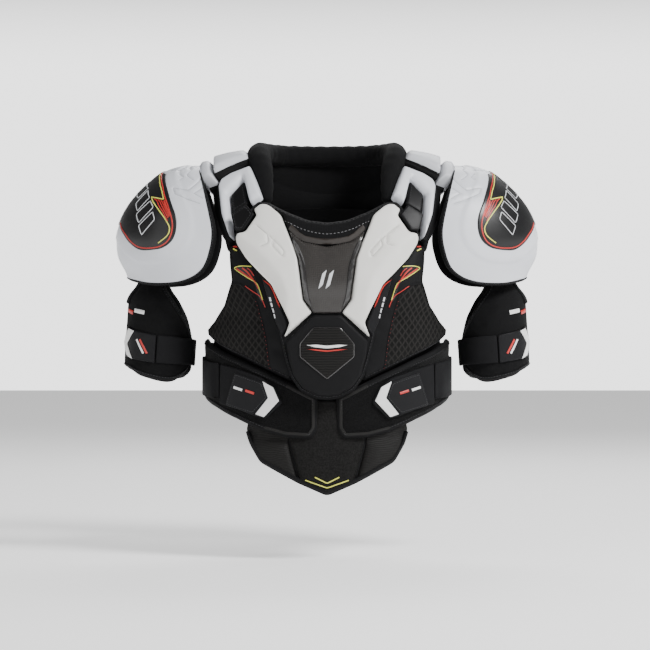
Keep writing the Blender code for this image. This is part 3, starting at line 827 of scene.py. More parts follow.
def pebbles(size):
    def pattern(s):
        made = s.node("TexVoronoi", {"Vector": s.place, "Scale": 1000.0 / size}, feature="SMOOTH_F1")
        return s.range(made.outputs["Distance"], 0.55, 0.1)
    return pattern


def ripples(pitch, sway):
    def pattern(s):
        bent = s.math("ADD", s.v, s.math("MULTIPLY", s.noise(38.0, 1.0), sway))
        return s.hump(bent, pitch)
    return pattern


def both_of(one, other, share=0.5):
    def pattern(s):
        a, b = one(s), other(s)
        return s.math("MULTIPLY", a, s.range(b, 0.0, 1.0, 1.0 - share, 1.0))
    return pattern


def look(name, slot, colour, rough, pattern=None, depth=0.2, dark=0.6, grain=0.02, size=0.9,
         uneven=0.06, sheen=0.0, coat=0.0, specular=0.4, gloss=0.0):
    """Principled finish with a pattern, fine grain, broad unevenness and a little wear."""
    s = Shade(name, slot)
    tone = s.noise(42.0, 3.0)
    fine = s.noise(size, 2.0)
    low = tuple(c * (1.0 - uneven) for c in colour) + (1.0,)
    high = tuple(min(c * (1.0 + uneven), 1.0) for c in colour) + (1.0,)
    base = s.mix(s.range(tone, 0.3, 0.7), low, high)
    height = s.math("MULTIPLY", fine, grain)
    worn = s.range(tone, 0.35, 0.75, rough - 0.04, rough + 0.05)
    if pattern is not None:
        relief = pattern(s)
        base = s.mix(relief, tuple(c * dark for c in colour) + (1.0,), base)
        height = s.math("ADD", height, s.math("MULTIPLY", relief, depth))
        if gloss:
            worn = s.math("SUBTRACT", worn, s.math("MULTIPLY", relief, gloss))
    bump = s.node("Bump", {"Strength": 1.0, "Distance": 0.001, "Height": height})
    s.put(s.surface.inputs["Base Color"], base)
    s.put(s.surface.inputs["Roughness"], worn)
    s.put(s.surface.inputs["Normal"], bump.outputs[0])
    s.surface.inputs["Specular IOR Level"].default_value = specular
    if sheen:
        s.surface.inputs["Sheen Weight"].default_value = sheen
        s.surface.inputs["Sheen Roughness"].default_value = 0.5
    if coat:
        s.surface.inputs["Coat Weight"].default_value = coat
        s.surface.inputs["Coat Roughness"].default_value = 0.18
    return s.material


SHELL = look("moulded_shell", "white_shell", (0.62, 0.635, 0.675), 0.42, grain=0.03, size=0.7, uneven=0.03)
WING_FOAM = look("wing_foam", "warm_white", (0.68, 0.67, 0.635), 0.46, grain=0.035, size=0.8, uneven=0.03)
CLAVICLE_FOAM = look("clavicle_foam", "grey_foam", (0.50, 0.51, 0.54), 0.5, grain=0.035, uneven=0.03)
KNIT = look("black_knit", "black_fabric", (0.008, 0.008, 0.0085), 0.9, knit(1.5), 0.16, 0.4, specular=0.08,
            sheen=0.02)
LINING = look("smooth_lining", "black_fabric", (0.007, 0.007, 0.0075), 0.9, weave(1.1), 0.1, 0.5,
              specular=0.08)
MESH = look("diamond_mesh", "black_fabric", (0.015, 0.014, 0.013), 0.75,
            both_of(diamonds(8.75, 11.0, 5.6, 8.2), knit(1.3), 0.35), 0.45, 0.1, specular=0.14)
FOAM = look("black_foam", "black_foam", (0.006, 0.006, 0.0065), 0.6, grain=0.05, size=0.8, specular=0.1)
RIBBED = look("ribbed_foam", "black_foam", (0.008, 0.0075, 0.007), 0.5, ribs(3.2), 0.5, 0.3, specular=0.14)
RIPPLED = look("rippled_foam", "black_foam", (0.011, 0.0105, 0.010), 0.6, ripples(2.2, 14.0), 0.3, 0.3,
               specular=0.14)
SPECKLED = look("speckled_weave", "black_fabric", (0.015, 0.0145, 0.014), 0.85,
                both_of(weave(1.4), loops(2.2), 0.7), 0.2, 0.2, specular=0.12)
TWILL = look("twill_gloss", "black_gloss", (0.034, 0.031, 0.029), 0.34, weave(1.9, 4.0, 2.0), 0.04, 0.45,
             coat=0.22, gloss=0.08, specular=0.3)
INLAY_GLOSS = look("inlay_gloss", "black_gloss", (0.009, 0.009, 0.0095), 0.36, weave(1.2, 4.0, 2.0), 0.02,
                   0.7,
                   coat=0.2, specular=0.25)
GLOSS = look("moulded_gloss", "black_gloss", (0.016, 0.015, 0.015), 0.24, grain=0.006, coat=0.6)
LEATHER = look("stitched_leather", "black_leather", (0.006, 0.006, 0.0065), 0.42, pebbles(0.9), 0.035, 0.7,
               specular=0.14)
LOOP = look("brushed_loop", "black_loop", (0.009, 0.009, 0.0093), 1.0, loops(0.8), 0.5, 0.25,
            specular=0.06, sheen=0.04)
ELASTIC = look("ribbed_elastic", "dark_elastic", (0.010, 0.010, 0.011), 0.8, ribs(1.3), 0.22, 0.35,
               specular=0.12)
BINDING = look("edge_tape", "black_fabric", (0.006, 0.006, 0.0065), 0.7, ribs(0.9, False), 0.12, 0.5,
               specular=0.12)
GREY_TAPE = look("grey_tape", "black_fabric", (0.017, 0.0165, 0.016), 0.75, ribs(0.9, False), 0.12, 0.6,
                 specular=0.15)
SATIN = look("satin_patch", "black_foam", (0.007, 0.007, 0.008), 0.46, weave(0.8), 0.03, 0.8, specular=0.14)
THREAD = look("thread", "black_fabric", (0.022, 0.022, 0.024), 0.7, grain=0.0)
PALE_THREAD = look("pale_thread", "grey_foam", (0.25, 0.25, 0.26), 0.7, grain=0.0)
# Darker copy of the shell colour: painted shade for the bottoms of the cap's embossed grooves.
SHELL_GROOVE_SHADE = look("shell_groove_shade", "white_shell", (0.43, 0.44, 0.47), 0.5, grain=0.02)
# Darker copy of the wing foam colour: painted shade for the bottoms of the wing's embossed grooves.
WING_GROOVE_SHADE = look("wing_line", "warm_white", (0.52, 0.51, 0.485), 0.55, grain=0.02)
RED = look("red_print", "black_gloss", (0.46, 0.026, 0.02), 0.4, grain=0.004)
RED_THREAD = look("red_thread", "black_gloss", (0.16, 0.012, 0.01), 0.7, grain=0.004)
YELLOW = look("yellow_print", "black_gloss", (0.62, 0.62, 0.10), 0.42, grain=0.004)
SILVER = look("silver_print", "white_shell", (0.55, 0.56, 0.58), 0.34, grain=0.004)
WHITE = look("white_print", "warm_white", (0.74, 0.74, 0.73), 0.4, grain=0.01)
TINT = look("tinted_band", "black_gloss", (0.017, 0.012, 0.009), 0.4, weave(1.2), 0.03, 0.6, coat=0.15)


# ------------------------------------------------------------------ common joins
PUFF = (4.0, 3.5, 14, 0.01)


def top_at(t, low, high, edge, wall=0.3):
    return low + (high - low) * (wall + (1 - wall) * math.sqrt(max(0.0, 1 - (1 - min(max(t / edge, 0), 1)) ** 2)))


def tape(low, high, edge, wall=0.3, width=5.0, thick=0.9, out=None):
    """Closed section of a tape folded over the edge of a panel."""
    out = thick if out is None else out
    over = [(t, top_at(t, low, high, edge, wall) + thick) for t in
            (0.2, 0.25 * width, 0.5 * width, 0.75 * width, width - 0.5)]
    end = top_at(width, low, high, edge, wall)
    return ([(width, low - 0.5), (0.5, low - 0.7), (-0.8 * out, low + 0.1),
             (-out, 0.5 * (low + over[0][1])), (-0.75 * out, over[0][1] - 0.6)]
            + over + [(width, end + thick * 0.4), (width + 0.2, end - 0.4)])


def bound(name, outline, low, high, edge, surface, body, chart=torso, closed=True, both=True,
          wall=0.3, width=5.0, thick=0.9, out=None, thread=True, ease=3.0):
    """Edge tape with its row of stitches."""
    line = ccw(outline) if closed else outline
    sweep(name + "_binding", line, tape(low, high, edge, wall, width, thick, out), BINDING,
          body, chart, closed, both, spacing=3.0, ease=ease)
    if thread:
        stitches(name + "_stitch", line, thick + 0.1, THREAD, body, surface, closed, both,
                 inset=width - 1.4)


# ---------------------------------------------------------------- front of torso
ROOT = "torso_harness"
PLATE = "sternum_plate"
FLAP = "belly_flap"
CAP_BODY = "shoulder_cap_*"
LINK_BODY = "link_*"
ARM_BODY = "bicep_*"

CHEST_PAD = (
    (106, -56), (117, -58), (126, -63), (123, -106), (132.5, -136), (145, -156),
    (154, -167), (153, -177), (143, -186), (109, -203), (71, -221), (47.5, -232),
    (38, -218), (62, -131), (74, -96), (75, -93),
)
INNER_PAD = ((0, -48), (44, -40), (66, -72), (70, -96), (58, -130), (34, -212), (0, -224))
LOOP_PANEL = (
    (47, -236), (72, -224.5), (114, -207), (166, -190), (206, -181), (240, -184), (240, -252),
    (198, -258), (158, -267), (117, -281), (79, -296), (51, -303), (20, -304.5), (13, -293),
    (13, -253),
)
SIDE_BAND = ((242, -186), (330, -196), (338, -255), (242, -254))
SIDE_STRAP = ((156, -207), (226, -203), (300, -205), (300, -250), (226, -252), (156, -257))
BELLY_STRAP = (
    (136, -211.5), (111, -219), (82, -229), (66, -241), (57, -260), (78, -280), (92, -277),
    (112, -269), (137, -262),
)

chest = seen(CHEST_PAD, 14)
on_chest = panel("chest_pad", chest, 2, 14, MESH, ROOT, gone=("chest_pad_*",), cell=3.0, edge=7,
                 soft=2.0, pad=0.75, inflate=PUFF)
bound("chest_pad", chest, 2, 14, 7, on_chest, ROOT, width=5.0)
upper = seen(((106, -58.5), (116.5, -60.5), (123.6, -65.5), (121, -106), (120.2, -109.2), (109.2, -111),
              (98.2, -118.3), (90, -125.7), (88.1, -133), (83.6, -149.5), (79.5, -165.9), (76.2, -178.7),
              (72.1, -217), (50, -228), (41.5, -217), (64.5, -131), (75.5, -97.5), (77, -93)), 15)
panel("chest_upper", upper, -0.8, 0.5, FOAM, ROOT, on_chest, cell=4.0, edge=0.7, ease=2.0, backing=False)
panel("front_liner", seen(whole(((0, -50), (44, -44), (100, -60), (116, -66), (116, -130), (146, -172),
                                 (150, -240), (100, -258), (0, -258))), 1), -1, 1, LINING, ROOT, both=False,
      cell=8.0, edge=1)
flash = seen(((116.2, -90), (108.3, -88.1), (94.6, -90), (92.7, -96.4), (88.1, -107.4), (83.6, -114.7),
              (81.7, -129.3), (80.8, -134.8), (85.4, -127.5), (90, -111), (100, -101.9)), 16)
panel("chest_flash", flash, 0.2, 0.9, INLAY_GLOSS, ROOT, on_chest, cell=3.0, edge=0.5, ease=1.0,
      backing=False)
for i, (line, width, ink) in enumerate((
        (((94.6, -89.1), (107.4, -88.7), (116.2, -90.5), (113.8, -93.6), (100, -102.8), (88.1, -110.1),
          (83.6, -120.2), (80.3, -131.2)), 1.1, YELLOW),
        (((105.7, -91.2), (99.2, -96.4), (92.4, -105.4)), 2.0, RED),
        (((113.2, -91.9), (105.5, -96.9), (98.2, -102.3), (90, -108.4), (85.4, -117)), 2.0, RED),
        (((99.5, -91.5), (95.2, -95.0), (91.5, -101.0)), 1.2, RED),
        (((101.9, -113.8), (92.7, -120.2), (84.5, -125.7), (80.8, -131.2), (77.2, -140.3)), 1.0, RED),
        (((119.3, -62.5), (116.5, -63.4), (113.2, -63.8)), 2.0, RED),
        (((118.3, -66.2), (115.6, -68), (112.9, -69.3)), 1.6, YELLOW))):
    strip("chest_line_" + str(i), flow(seen(line, 16)), width, 1.0, ink, ROOT, on_chest, thick=0.35, ease=0,
          spacing=1.5)
strip("chest_mesh_edge", seen(((124.8, -114.7), (120.2, -109.2), (109.2, -111), (98.2, -118.3),
                               (90, -125.7),
                               (88.1, -133), (83.6, -149.5), (79.5, -165.9), (76.2, -178.7),
                               (72.1, -216.5)), 16),
      3.0, 0.5, BINDING, ROOT, on_chest, thick=0.8)
stitches("chest_mesh_seam", seen(((88.1, -133), (83.6, -149.5), (79.5, -165.9), (76.2, -178.7),
                                  (72.1, -216.5)), 16),
         1.4, RED_THREAD, ROOT, on_chest, pitch=5.0, length=1.8, width=0.6)

panel("sternum_inner_pad", seen(whole(INNER_PAD), 14), 2, 14, KNIT, ROOT, both=False,
      gone=("sternum_inner_pad",), cell=5.0, edge=7, pad=0.6, inflate=PUFF)

on_loop = panel("loop_panel", LOOP_PANEL, 7, 12, LOOP, ROOT, gone=("loop_panel_*",), cell=4.0, edge=3,
                pad=0.4, relief=lambda q, d: 0.5 * np.sin(q[:, 0] * 0.11) * np.sin(q[:, 1] * 0.14))
bound("loop_panel", LOOP_PANEL, 7, 12, 3, on_loop, ROOT, width=6.0, thick=0.8)
sweep("loop_front_tape", ((49, -236), (14, -254), (14, -292), (21, -303), (51, -301.5), (79, -294.5)),
      tape(7, 12, 3, width=5.0, thick=1.3), GREY_TAPE, ROOT, closed=False, spacing=3.0)

on_band = panel("side_band", SIDE_BAND, 2, 10, KNIT, ROOT, gone=("side_band_*",), cell=5.0, edge=4,
                pad=0.5, inflate=PUFF)
bound("side_band", SIDE_BAND, 2, 10, 4, on_band, ROOT)
on_strap = panel("side_strap", ((146, -211),) + SIDE_STRAP[1:5] + ((146, -256),), 13, 16, ELASTIC, ROOT,
                 gone=("side_strap_*",), cell=5.0, edge=1.5, wall=0.5,
                 relief=lambda q, d: -2.4 * smooth((160.0 - q[:, 0]) / 5.0))
stitches("side_strap_stitch", ((284, -208), (296, -208), (296, -247), (284, -247)), 0.1, THREAD, ROOT,
         on_strap,
         closed=True, pitch=3.6)

belly_strap = seen(BELLY_STRAP, 16)
on_belly_strap = panel("belly_strap", belly_strap, 13, 16, ELASTIC, "belly_tab_*", gone=("belly_strap_*",),
                       cell=4.0, edge=1.5, wall=0.5)
patch = seen(((116, -222.5), (81.1, -234.5), (73.9, -254), (92.7, -274.5), (128, -263.5)), 16)
on_patch = panel("belly_patch", patch, -0.2, 1.0, SATIN, "belly_tab_*", on_belly_strap, cell=4.0, edge=0.8,
                 ease=2.0,
                 backing=False)
stitches("belly_patch_stitch", ccw(patch), 0.1, THREAD, "belly_tab_*", on_patch, closed=True, inset=2.2,
         pitch=3.2,
         length=2.2)
chevron = seen(((81.1, -233), (67.7, -240.6), (60.2, -257.5), (79.3, -278), (90, -274.5), (73.9, -254)), 16)
for i, ink in enumerate((WHITE, RED)):
    strip("belly_mark_" + str(i), seen(((117 - 15 * i, -241 - 4 * i), (106 - 15 * i, -244.5 - 4 * i)), 16),
          3.2, 0.2, ink,
          "belly_tab_*", on_patch, thick=0.3, ease=0)
panel("belly_chevron", chevron, -0.4, 0.8, WHITE, "belly_tab_*", on_belly_strap, cell=4.0, edge=0.5,
      ease=1.0,
      backing=False)

# ------------------------------------------------------------------- belly flap
BELLY_CORE = ((0, -258), (49, -258), (49.5, -300), (47.5, -313), (34.8, -361.5), (0, -376))
BELLY_SIDE = ((50.5, -258), (97, -258), (104, -294), (100, -311), (86, -334.5), (36.4, -360.8), (49, -313),
              (51, -300))
FOLD = (ROOT, FLAP, (0.0, -117.5, -302.0), (0.0, -117.5, -315.0))


def under_loops(q, d):
    return -3.6 * smooth((q[:, 1] + 318.0) / 14.0)


core = seen(whole(BELLY_CORE), 9.5)
on_core = panel("belly_core", core, 0, 9.5, SPECKLED, FOLD, gone=("belly_core", "belly_pad_anchor"),
                both=False,
                cell=3.0, edge=6, soft=1.0, pad=0.7, inflate=PUFF, relief=under_loops)
for name, half, top, low in (("belly_mark_low", 27, -357.0, -366.4),
                             ("belly_mark_high", 15, -353.0, -360.5)):
    strip(name, seen(((half, top), (0, low), (-half, top)), 9.5), 1.5, 0.5, YELLOW, FLAP, on_core,
          both=False,
          thick=0.4)
flap_side = seen(BELLY_SIDE, 8)
panel("belly_side", flap_side, 0, 8.5, RIPPLED, FOLD, gone=("belly_side_*",), cell=3.0, edge=6,
      soft=1.5, pad=0.7, inflate=PUFF, relief=under_loops)
belly_edge = seen(((104, -298), (100, -311), (86, -334.5), (36.4, -360.8), (0, -376), (-36.4, -360.8),
                   (-86, -334.5), (-100, -311), (-104, -298)), 8)
bound("belly", belly_edge[::-1], 0, 8.5, 6, on_core, FOLD, closed=False, both=False, width=6.0, thick=1.2,
      thread=False, ease=5.0)
strip("belly_seam", seen(((49.7, -296), (48.3, -313), (35.6, -361.2)), 9), 3.2, 0.1, BINDING, FOLD, on_core,
      thick=0.9)

# ---------------------------------------------------------------- sternum plate
BACKING = (
    (0, -33), (25, -29.5), (50, -19.5), (65, -12), (75, -6), (87.5, -4.5), (95, -11),
    (116, -42), (118.5, -52), (111, -71), (90, -93), (77.5, -111), (71, -131), (64, -162),
    (57.5, -187), (52.5, -208), (46, -228), (34, -244.5), (15, -254), (0, -256),
)
NECK_BAND = ((0, -35.5), (25, -32), (50, -22), (57, -18.8), (49.5, -41), (31, -54.5), (0, -61.5))
CORE = (
    (0, -64), (31, -57), (48, -43.5), (43.5, -58), (36.5, -78), (32.5, -108),
    (29.5, -131), (17, -148), (0, -148),
)
WING = (
    (19.5, -147), (31, -131), (34, -108), (38, -78), (45, -58), (59.5, -22), (72.5, -11),
    (79, -8), (85, -8), (94, -15), (90, -23), (104, -44), (114, -46), (117, -52),
    (115, -60), (102.5, -79.5), (85, -98), (71, -112), (48, -159.5), (55, -178),
)
ACCENT = ((82, -103), (75, -129), (64, -161), (57, -176), (50, -166), (50, -160), (70, -116))
SHIELD = (
    (0, -149.5), (17.5, -149.5), (52, -182), (49, -206), (43, -226), (31, -241.5),
    (13, -250.5), (0, -252),
)
BADGE = ((0, -166), (17, -166), (33.5, -186), (33.5, -202), (0, -229.5))

backing = seen(whole(BACKING), 24)
on_backing = panel("sternum_backing", backing, 15.5, 24, FOAM, PLATE, gone=("sternum_backing",), both=False,
                   cell=4.0, edge=4, pad=0.6)
bound("sternum_backing", backing, 15.5, 24, 4, on_backing, PLATE, both=False, width=4.5, thick=0.7)

neck = seen(whole(NECK_BAND), 31)
on_neck = panel("neck_band", neck, 24.8, 31, KNIT, PLATE, gone=("neck_band",), both=False, cell=3.0, edge=4,
                pad=0.5, ease=2.0)
stitches("neck_stitch", seen(((52.5, -31.4), (45.1, -36), (32.3, -42.4), (17.7, -47), (0, -49.2),
                              (-17.7, -47),
                              (-32.3, -42.4), (-45.1, -36), (-52.5, -31.4)), 31), 0.1, PALE_THREAD, PLATE,
                              on_neck,
         both=False, pitch=3.4, length=2.2, width=0.6)
strip("neck_tint", seen(((46.5, -39.5), (36, -49.5), (28.7, -54.2), (14, -57.3), (0, -58.2), (-14, -57.3),
                         (-28.7, -54.2), (-36, -49.5), (-46.5, -39.5)), 31), 5.0, 0.9, TINT, PLATE, on_neck,
      both=False, thick=0.25)

plate_core = seen(whole(CORE), 31)
on_plate = panel("sternum_core", plate_core, 24.8, 31, TWILL, PLATE, gone=("sternum_core",), both=False,
                 cell=3.0, edge=3, ease=2.0, soft=0.8)
bevel = ((44.5, -52), (39.5, -64), (33.2, -80), (29.8, -93), (27.8, -113), (24.8, -131), (18.5, -142))
strip("core_bevel", flow(seen(bevel, 31)), 6.0, 0.5, GLOSS, PLATE, on_plate, thick=1.3, taper=10.0, ease=0)
for i, x in enumerate((-6.0, 3.0)):
    mark = seen(((x, -99), (x + 5.5, -94), (x + 0.5, -113), (x - 5, -118)), 31)
    panel("core_mark_" + str(i), mark, 0.1, 0.6, SILVER, PLATE, on_plate, both=False, cell=3.0, edge=0.4,
          ease=0.8,
          backing=False)

wing = seen(WING, 33)
w_lines = [seen(line, 33) for line in (
    ((88.1, -37.8), (75.3, -48.8), (74.4, -59.8), (81.7, -63.4)),
    ((72.6, -50.6), (65.3, -57.9), (57.9, -65.3), (54.3, -70.8), (56.1, -76.2)),
    ((67.1, -54.3), (68.9, -63.4), (57, -76.2)))]
ridge = seen(((113.8, -47), (92.7, -63.4), (72.6, -81.7), (56.1, -103.7), (48.8, -125.7), (50.6, -144),
              (47, -162.3)), 33)
lower_facet = ridge + seen(((40, -184), (70, -184), (135, -110), (135, -47)), 33)


def wing_relief(q, d):
    away = np.sqrt(line_distance(q, ridge) ** 2 + 1.0)
    fall = np.where(inside(q, lower_facet), 0.34 * np.minimum(away, 18.0), 0.16 * np.minimum(away, 22.0))
    return 1.6 - fall + groove(w_lines, 0.9, 1.3)(q, d)


on_wing = panel("sternum_wing", wing, 24.8, 33, WING_FOAM, PLATE, gone=("sternum_wing_*",), cell=2.6,
                edge=3.5,
                ease=2.5, lines=w_lines, line_width=0.9, soft=0.8,
                relief=wing_relief)

# Painted shade: darker strips laid along the bottoms of the wing's embossed grooves.
for i, line in enumerate(w_lines):
    strip("wing_shaded_groove_" + str(i), flow(line, steps=3), 0.9, 0.0, WING_GROOVE_SHADE, PLATE, on_wing, thick=0.2,
          ease=0, spacing=1.5)

accent = seen(ACCENT, 28)
on_accent = panel("side_accent", accent, 24.8, 28, SATIN, PLATE, gone=("side_accent_*",), cell=3.0,
                  edge=1.5,
                  ease=2.0)
strip("accent_line", seen(((80.5, -106), (72.6, -112), (68, -119), (64.4, -128.5), (58.9, -141.3)), 28),
      1.3, 0.3,
      RED, PLATE, on_accent, thick=0.3, taper=4.0)
for i in range(4):
    x, z = 71.5 - 1.7 * i, -128.0 - 7.0 * i
    strip("accent_dash_" + str(i), seen(((x, z), (x - 1.2, z - 5.0)), 28), 2.0, 0.3, SILVER, PLATE,
          on_accent,
          thick=0.25, ease=0)

shield = seen(whole(SHIELD), 32)
panel("sternum_shield", shield, 24.8, 32, FOAM, PLATE, gone=("sternum_shield",), both=False,
      cell=3.0, edge=4, ease=3.0, soft=0.6)
badge = seen(whole(BADGE), 34)
on_badge = panel("sternum_badge", badge, 32.2, 34.2, RIBBED, PLATE, gone=("sternum_badge",), both=False,
                 cell=3.0, edge=1.6, ease=2.5)
for name, z, ink, thick in (("badge_bar", -187.5, WHITE, 3.4), ("badge_line", -192.5, RED, 1.6)):
    strip(name, seen(((-25, z), (0, z - 2.5), (25, z)), 34), thick, 0.3, ink, PLATE, on_badge, both=False,
          thick=0.4,
          taper=10.0)
strip("badge_rim", badge, 1.6, 0.2, GLOSS, PLATE, on_badge, closed=True, both=False, thick=0.5)

TIP = ((122, -22.5), (116.5, -43), (105.5, -43.5), (92, -22.5), (102.5, -10))
STRAP_TAB = ((109, 26), (126, 7), (123, -17), (103, -5), (104.5, 0.5))
tip = seen(TIP, 28.8)
on_tip = panel("strap_tip", tip, 24.8, 28.8, LEATHER, PLATE, gone=("strap_tip_*",), cell=3.0, edge=1.6,
               wall=0.5, ease=2.0)
stitches("strap_tip_stitch", ccw(tip), 0.1, THREAD, PLATE, on_tip, closed=True, inset=2.4, pitch=3.0,
         length=2.0)
tab = seen(STRAP_TAB, 22)
on_tab = panel("shoulder_strap", tab, 12, 17, LEATHER, ROOT, gone=("shoulder_strap_*",), cell=3.0, edge=1.8,
               wall=0.5, ease=2.0)
stitches("shoulder_strap_stitch", ccw(tab), 0.1, THREAD, ROOT, on_tab, closed=True, inset=2.4, pitch=3.0,
         length=2.0)

# -------------------------------------------------------------------- shoulders
YOKE = ((94, 42), (110, 50), (134, 44), (135, 0), (134, -36), (112, -42), (94, -38), (93, 0))
CLAVICLE_CAP = ((89, 16), (107, 19.5), (120, 23), (129, 25), (131, 0), (129, -42), (107, -44), (89, -36))
LINK = ((130.5, 27), (143, 28), (148, 21), (150.5, 12), (151.5, 0), (150.5, -12), (148, -23), (143, -34),
        (130.5, -40), (132.5, 0))
FRAME = (
    (85, 4.5), (99.5, 45), (125, 35), (138, 26.5), (141.5, 16.6), (136.5, -20.4),
    (124.5, -52.3), (122.5, -49), (126.5, -18), (129.5, 8), (109, 30), (101.5, 0.5), (98.5, -6.5),
)


def arcs(outline):
    return [(x, degrees * SHOULDER_ARC) for x, degrees in outline]


on_yoke = panel("yoke", arcs(YOKE), 2, 10, KNIT, ROOT, shoulder, gone=("yoke_*",), cell=4.0, edge=4,
                pad=0.6,
                inflate=PUFF)
bound("yoke", arcs(YOKE), 2, 10, 4, on_yoke, ROOT, shoulder)
frame_line = seen(FRAME, 22)
on_frame = panel("clavicle_frame", frame_line, 11, 22, SHELL, ROOT, gone=("clavicle_frame_*",), cell=2.6,
                 edge=4,
                 ease=2.5)
on_clavicle = panel("clavicle_cap", arcs(CLAVICLE_CAP), 11, 30, CLAVICLE_FOAM, ROOT, shoulder,
                    gone=("clavicle_cap_*",), cell=3.0, edge=6, soft=1.5, ease=4.0)
link = arcs(LINK)
panel("clavicle_link", link, 12, 27, CLAVICLE_FOAM, LINK_BODY, shoulder, gone=("clavicle_link_*",),
      cell=2.6, edge=4, ease=2.5, relief=lambda q, d: -5.0 * smooth((q[:, 0] - 140.0) / 10.0))

bound("clavicle_frame", seen(((124.5, -52.3), (136.5, -20.4), (141.5, 16.6), (138, 26.5), (125, 35),
                              (99.5, 45)), 22),
      11, 22, 4, on_frame, ROOT, closed=False, width=0.8, thick=0.5, out=4.2, thread=False, ease=6.0)
bound("clavicle_cap", arcs(CLAVICLE_CAP), 11, 30, 6, on_clavicle, ROOT, shoulder, width=0.8, thick=0.3,
      out=1.6,
      thread=False)
panel("link_web", arcs([(x + (-2.0 if x > 135 else -5.0), degrees * 1.1) for x, degrees in LINK]), 7, 11.5,
      KNIT,
      LINK_BODY, shoulder, cell=4.0, edge=2, ease=4.0, pad=0.5)
flange = seen(((124, -64), (134, -50), (144.5, -20), (149, 14), (147, 30), (139, 32), (135, 16), (129, -20),
               (119, -50)), 11)
panel("shoulder_flange", flange, 6, 10.6, KNIT, ROOT, cell=4.0, edge=3, ease=4.0, pad=0.5)
panel("collar_web", arcs(((76, 38), (100, 44), (100, -50), (76, -62))), 0, 3, KNIT, ROOT, shoulder,
      cell=5.0,
      edge=1.5, ease=4.0, pad=0.4)
panel("strap_web", seen(((82, 4), (104, 4), (134, -30), (126, -70), (102, -72), (84, -24)), 6), 2.5, 6,
      KNIT, ROOT,
      cell=4.0, edge=1.5, ease=4.0, pad=0.4)
COLLAR_SIDE = (
    (77, -72, -8, 7), (78, -62, 14, 9.5), (83, -44, 36, 13.5), (88, -20, 53, 15), (88, 10, 60, 15),
    (83, 36, 62, 14.6), (72, 56, 62, 14.4), (56, 70, 62, 14.3),
)
COLLAR_BACK = ((70, 58, 62, 13.9), (56, 70, 62, 14), (34, 80, 62, 14), (0, 85, 62, 14), (-34, 80, 62, 14),
               (-56, 70, 62, 14), (-70, 58, 62, 13.9))


def collar_relief(along, turn):
    return 0.35 * np.sin(along * 0.35) * np.cos(turn * 2.0)


tube("collar", COLLAR_SIDE, KNIT, ROOT, gone=("collar_*",), both=True, pad=0.8, relief=collar_relief)
tube("collar_rear", COLLAR_BACK, KNIT, ROOT, gone=("collar_back",), pad=0.8, relief=collar_relief)
panel("nape_panel", ((-82, 0), (82, 0), (82, 47), (-82, 47)), 0, 7, KNIT, ROOT, nape,
      gone=("nape_panel",), both=False, cell=4.0, edge=3, pad=0.5)

BRIDGE_X = np.linspace(-112.0, 112.0, 45)
BRIDGE_LOW = torso(*np.array(seen([(x, -16.0) for x in BRIDGE_X], 3, False)).T, 3.0)
BRIDGE_HIGH = nape(np.clip(BRIDGE_X, -81.0, 81.0), 4.0, 0.5)


def bridge(x, t, h):
    """Sheet from the back liner up to the nape panel: across, upward 0 to 40, outward."""
    x, t, h = np.broadcast_arrays(np.asarray(x, float), t, h)
    low = np.stack([np.interp(x, BRIDGE_X, BRIDGE_LOW[:, k]) for k in range(3)], axis=-1)
    high = np.stack([np.interp(x, BRIDGE_X, BRIDGE_HIGH[:, k]) for k in range(3)], axis=-1)
    sag = np.sin(np.clip(t / 40.0, 0, 1) * math.pi) * -3.0
    out = low + (high - low) * (t / 40.0)[..., None]
    out[..., 1] += h + sag
    return out


panel("nape_bridge", ((-110, 0), (110, 0), (92, 40), (-92, 40)), -1, 2, KNIT, ROOT, bridge, both=False,
      cell=4.0,
      edge=1.5, pad=0.3)

# ------------------------------------------------------------------------- back
SPINE_GUARD = ((0, -5), (36, -8), (40, -30), (26, -80), (20, -150), (21, -188), (0, -200))
BACK_PAD = (
    (38, -2), (70, -5), (100, -15), (118, -40), (120, -95), (108, -150), (92, -192),
    (38, -192), (31, -150), (31, -100), (42, -40),
)
BACK_LINER = ((0, -6), (60, -8), (96, -18), (112, -60), (100, -150), (84, -188), (0, -196))
LOWER_BACK = ((0, -207), (88, -207), (96, -240), (84, -284), (50, -300), (0, -304))

back_pad = seen(BACK_PAD, 14, False)
on_back = panel("upper_back_pad", back_pad, 2, 14, MESH, ROOT, gone=("upper_back_pad_*",), cell=3.5, edge=7,
                soft=2.0, pad=0.75, inflate=PUFF)
bound("upper_back_pad", back_pad, 2, 14, 7, on_back, ROOT)
panel("back_liner", seen(whole(BACK_LINER), 1, False), -1, 1, LINING, ROOT, gone=("back_liner",),
      both=False, cell=6.0, edge=1)
spine = seen(whole(SPINE_GUARD), 26, False)
spine_lines = [seen(((-24 + 3 * k, -40 - 34 * k), (0, -50 - 34 * k), (24 - 3 * k, -40 - 34 * k)), 26, False)
               for k in range(4)]
on_spine = panel("spine_guard", spine, 15, 26, SHELL, ROOT, gone=("spine_guard",), both=False, cell=2.8,
                 edge=4,
                 lines=spine_lines, line_width=1.4, relief=groove(spine_lines, 1.4, 1.6), ease=4.0,
                 soft=1.0)
bound("spine_guard", spine, 15, 26, 4, on_spine, ROOT, both=False, width=5.5)
lower = seen(whole(LOWER_BACK), 12, False)
on_lower = panel("lower_back_pad", lower, 1, 12, MESH, "lower_back_flap", gone=("lower_back_pad",),
                 both=False,
                 cell=4.0, edge=7, soft=2.0, pad=0.75, inflate=PUFF)
bound("lower_back_pad", lower, 1, 12, 7, on_lower, "lower_back_flap", both=False)

BACK_FOLD = (ROOT, "lower_back_flap", (0, 108.5, -199), (0, 108.5, -211))
panel("lower_back_hem", seen(whole(((0, -184), (82, -184), (84, -234), (0, -234))), 0, False), -1.2, 0.7,
      KNIT,
      BACK_FOLD, both=False, cell=4.0, edge=1.0, pad=0.3)

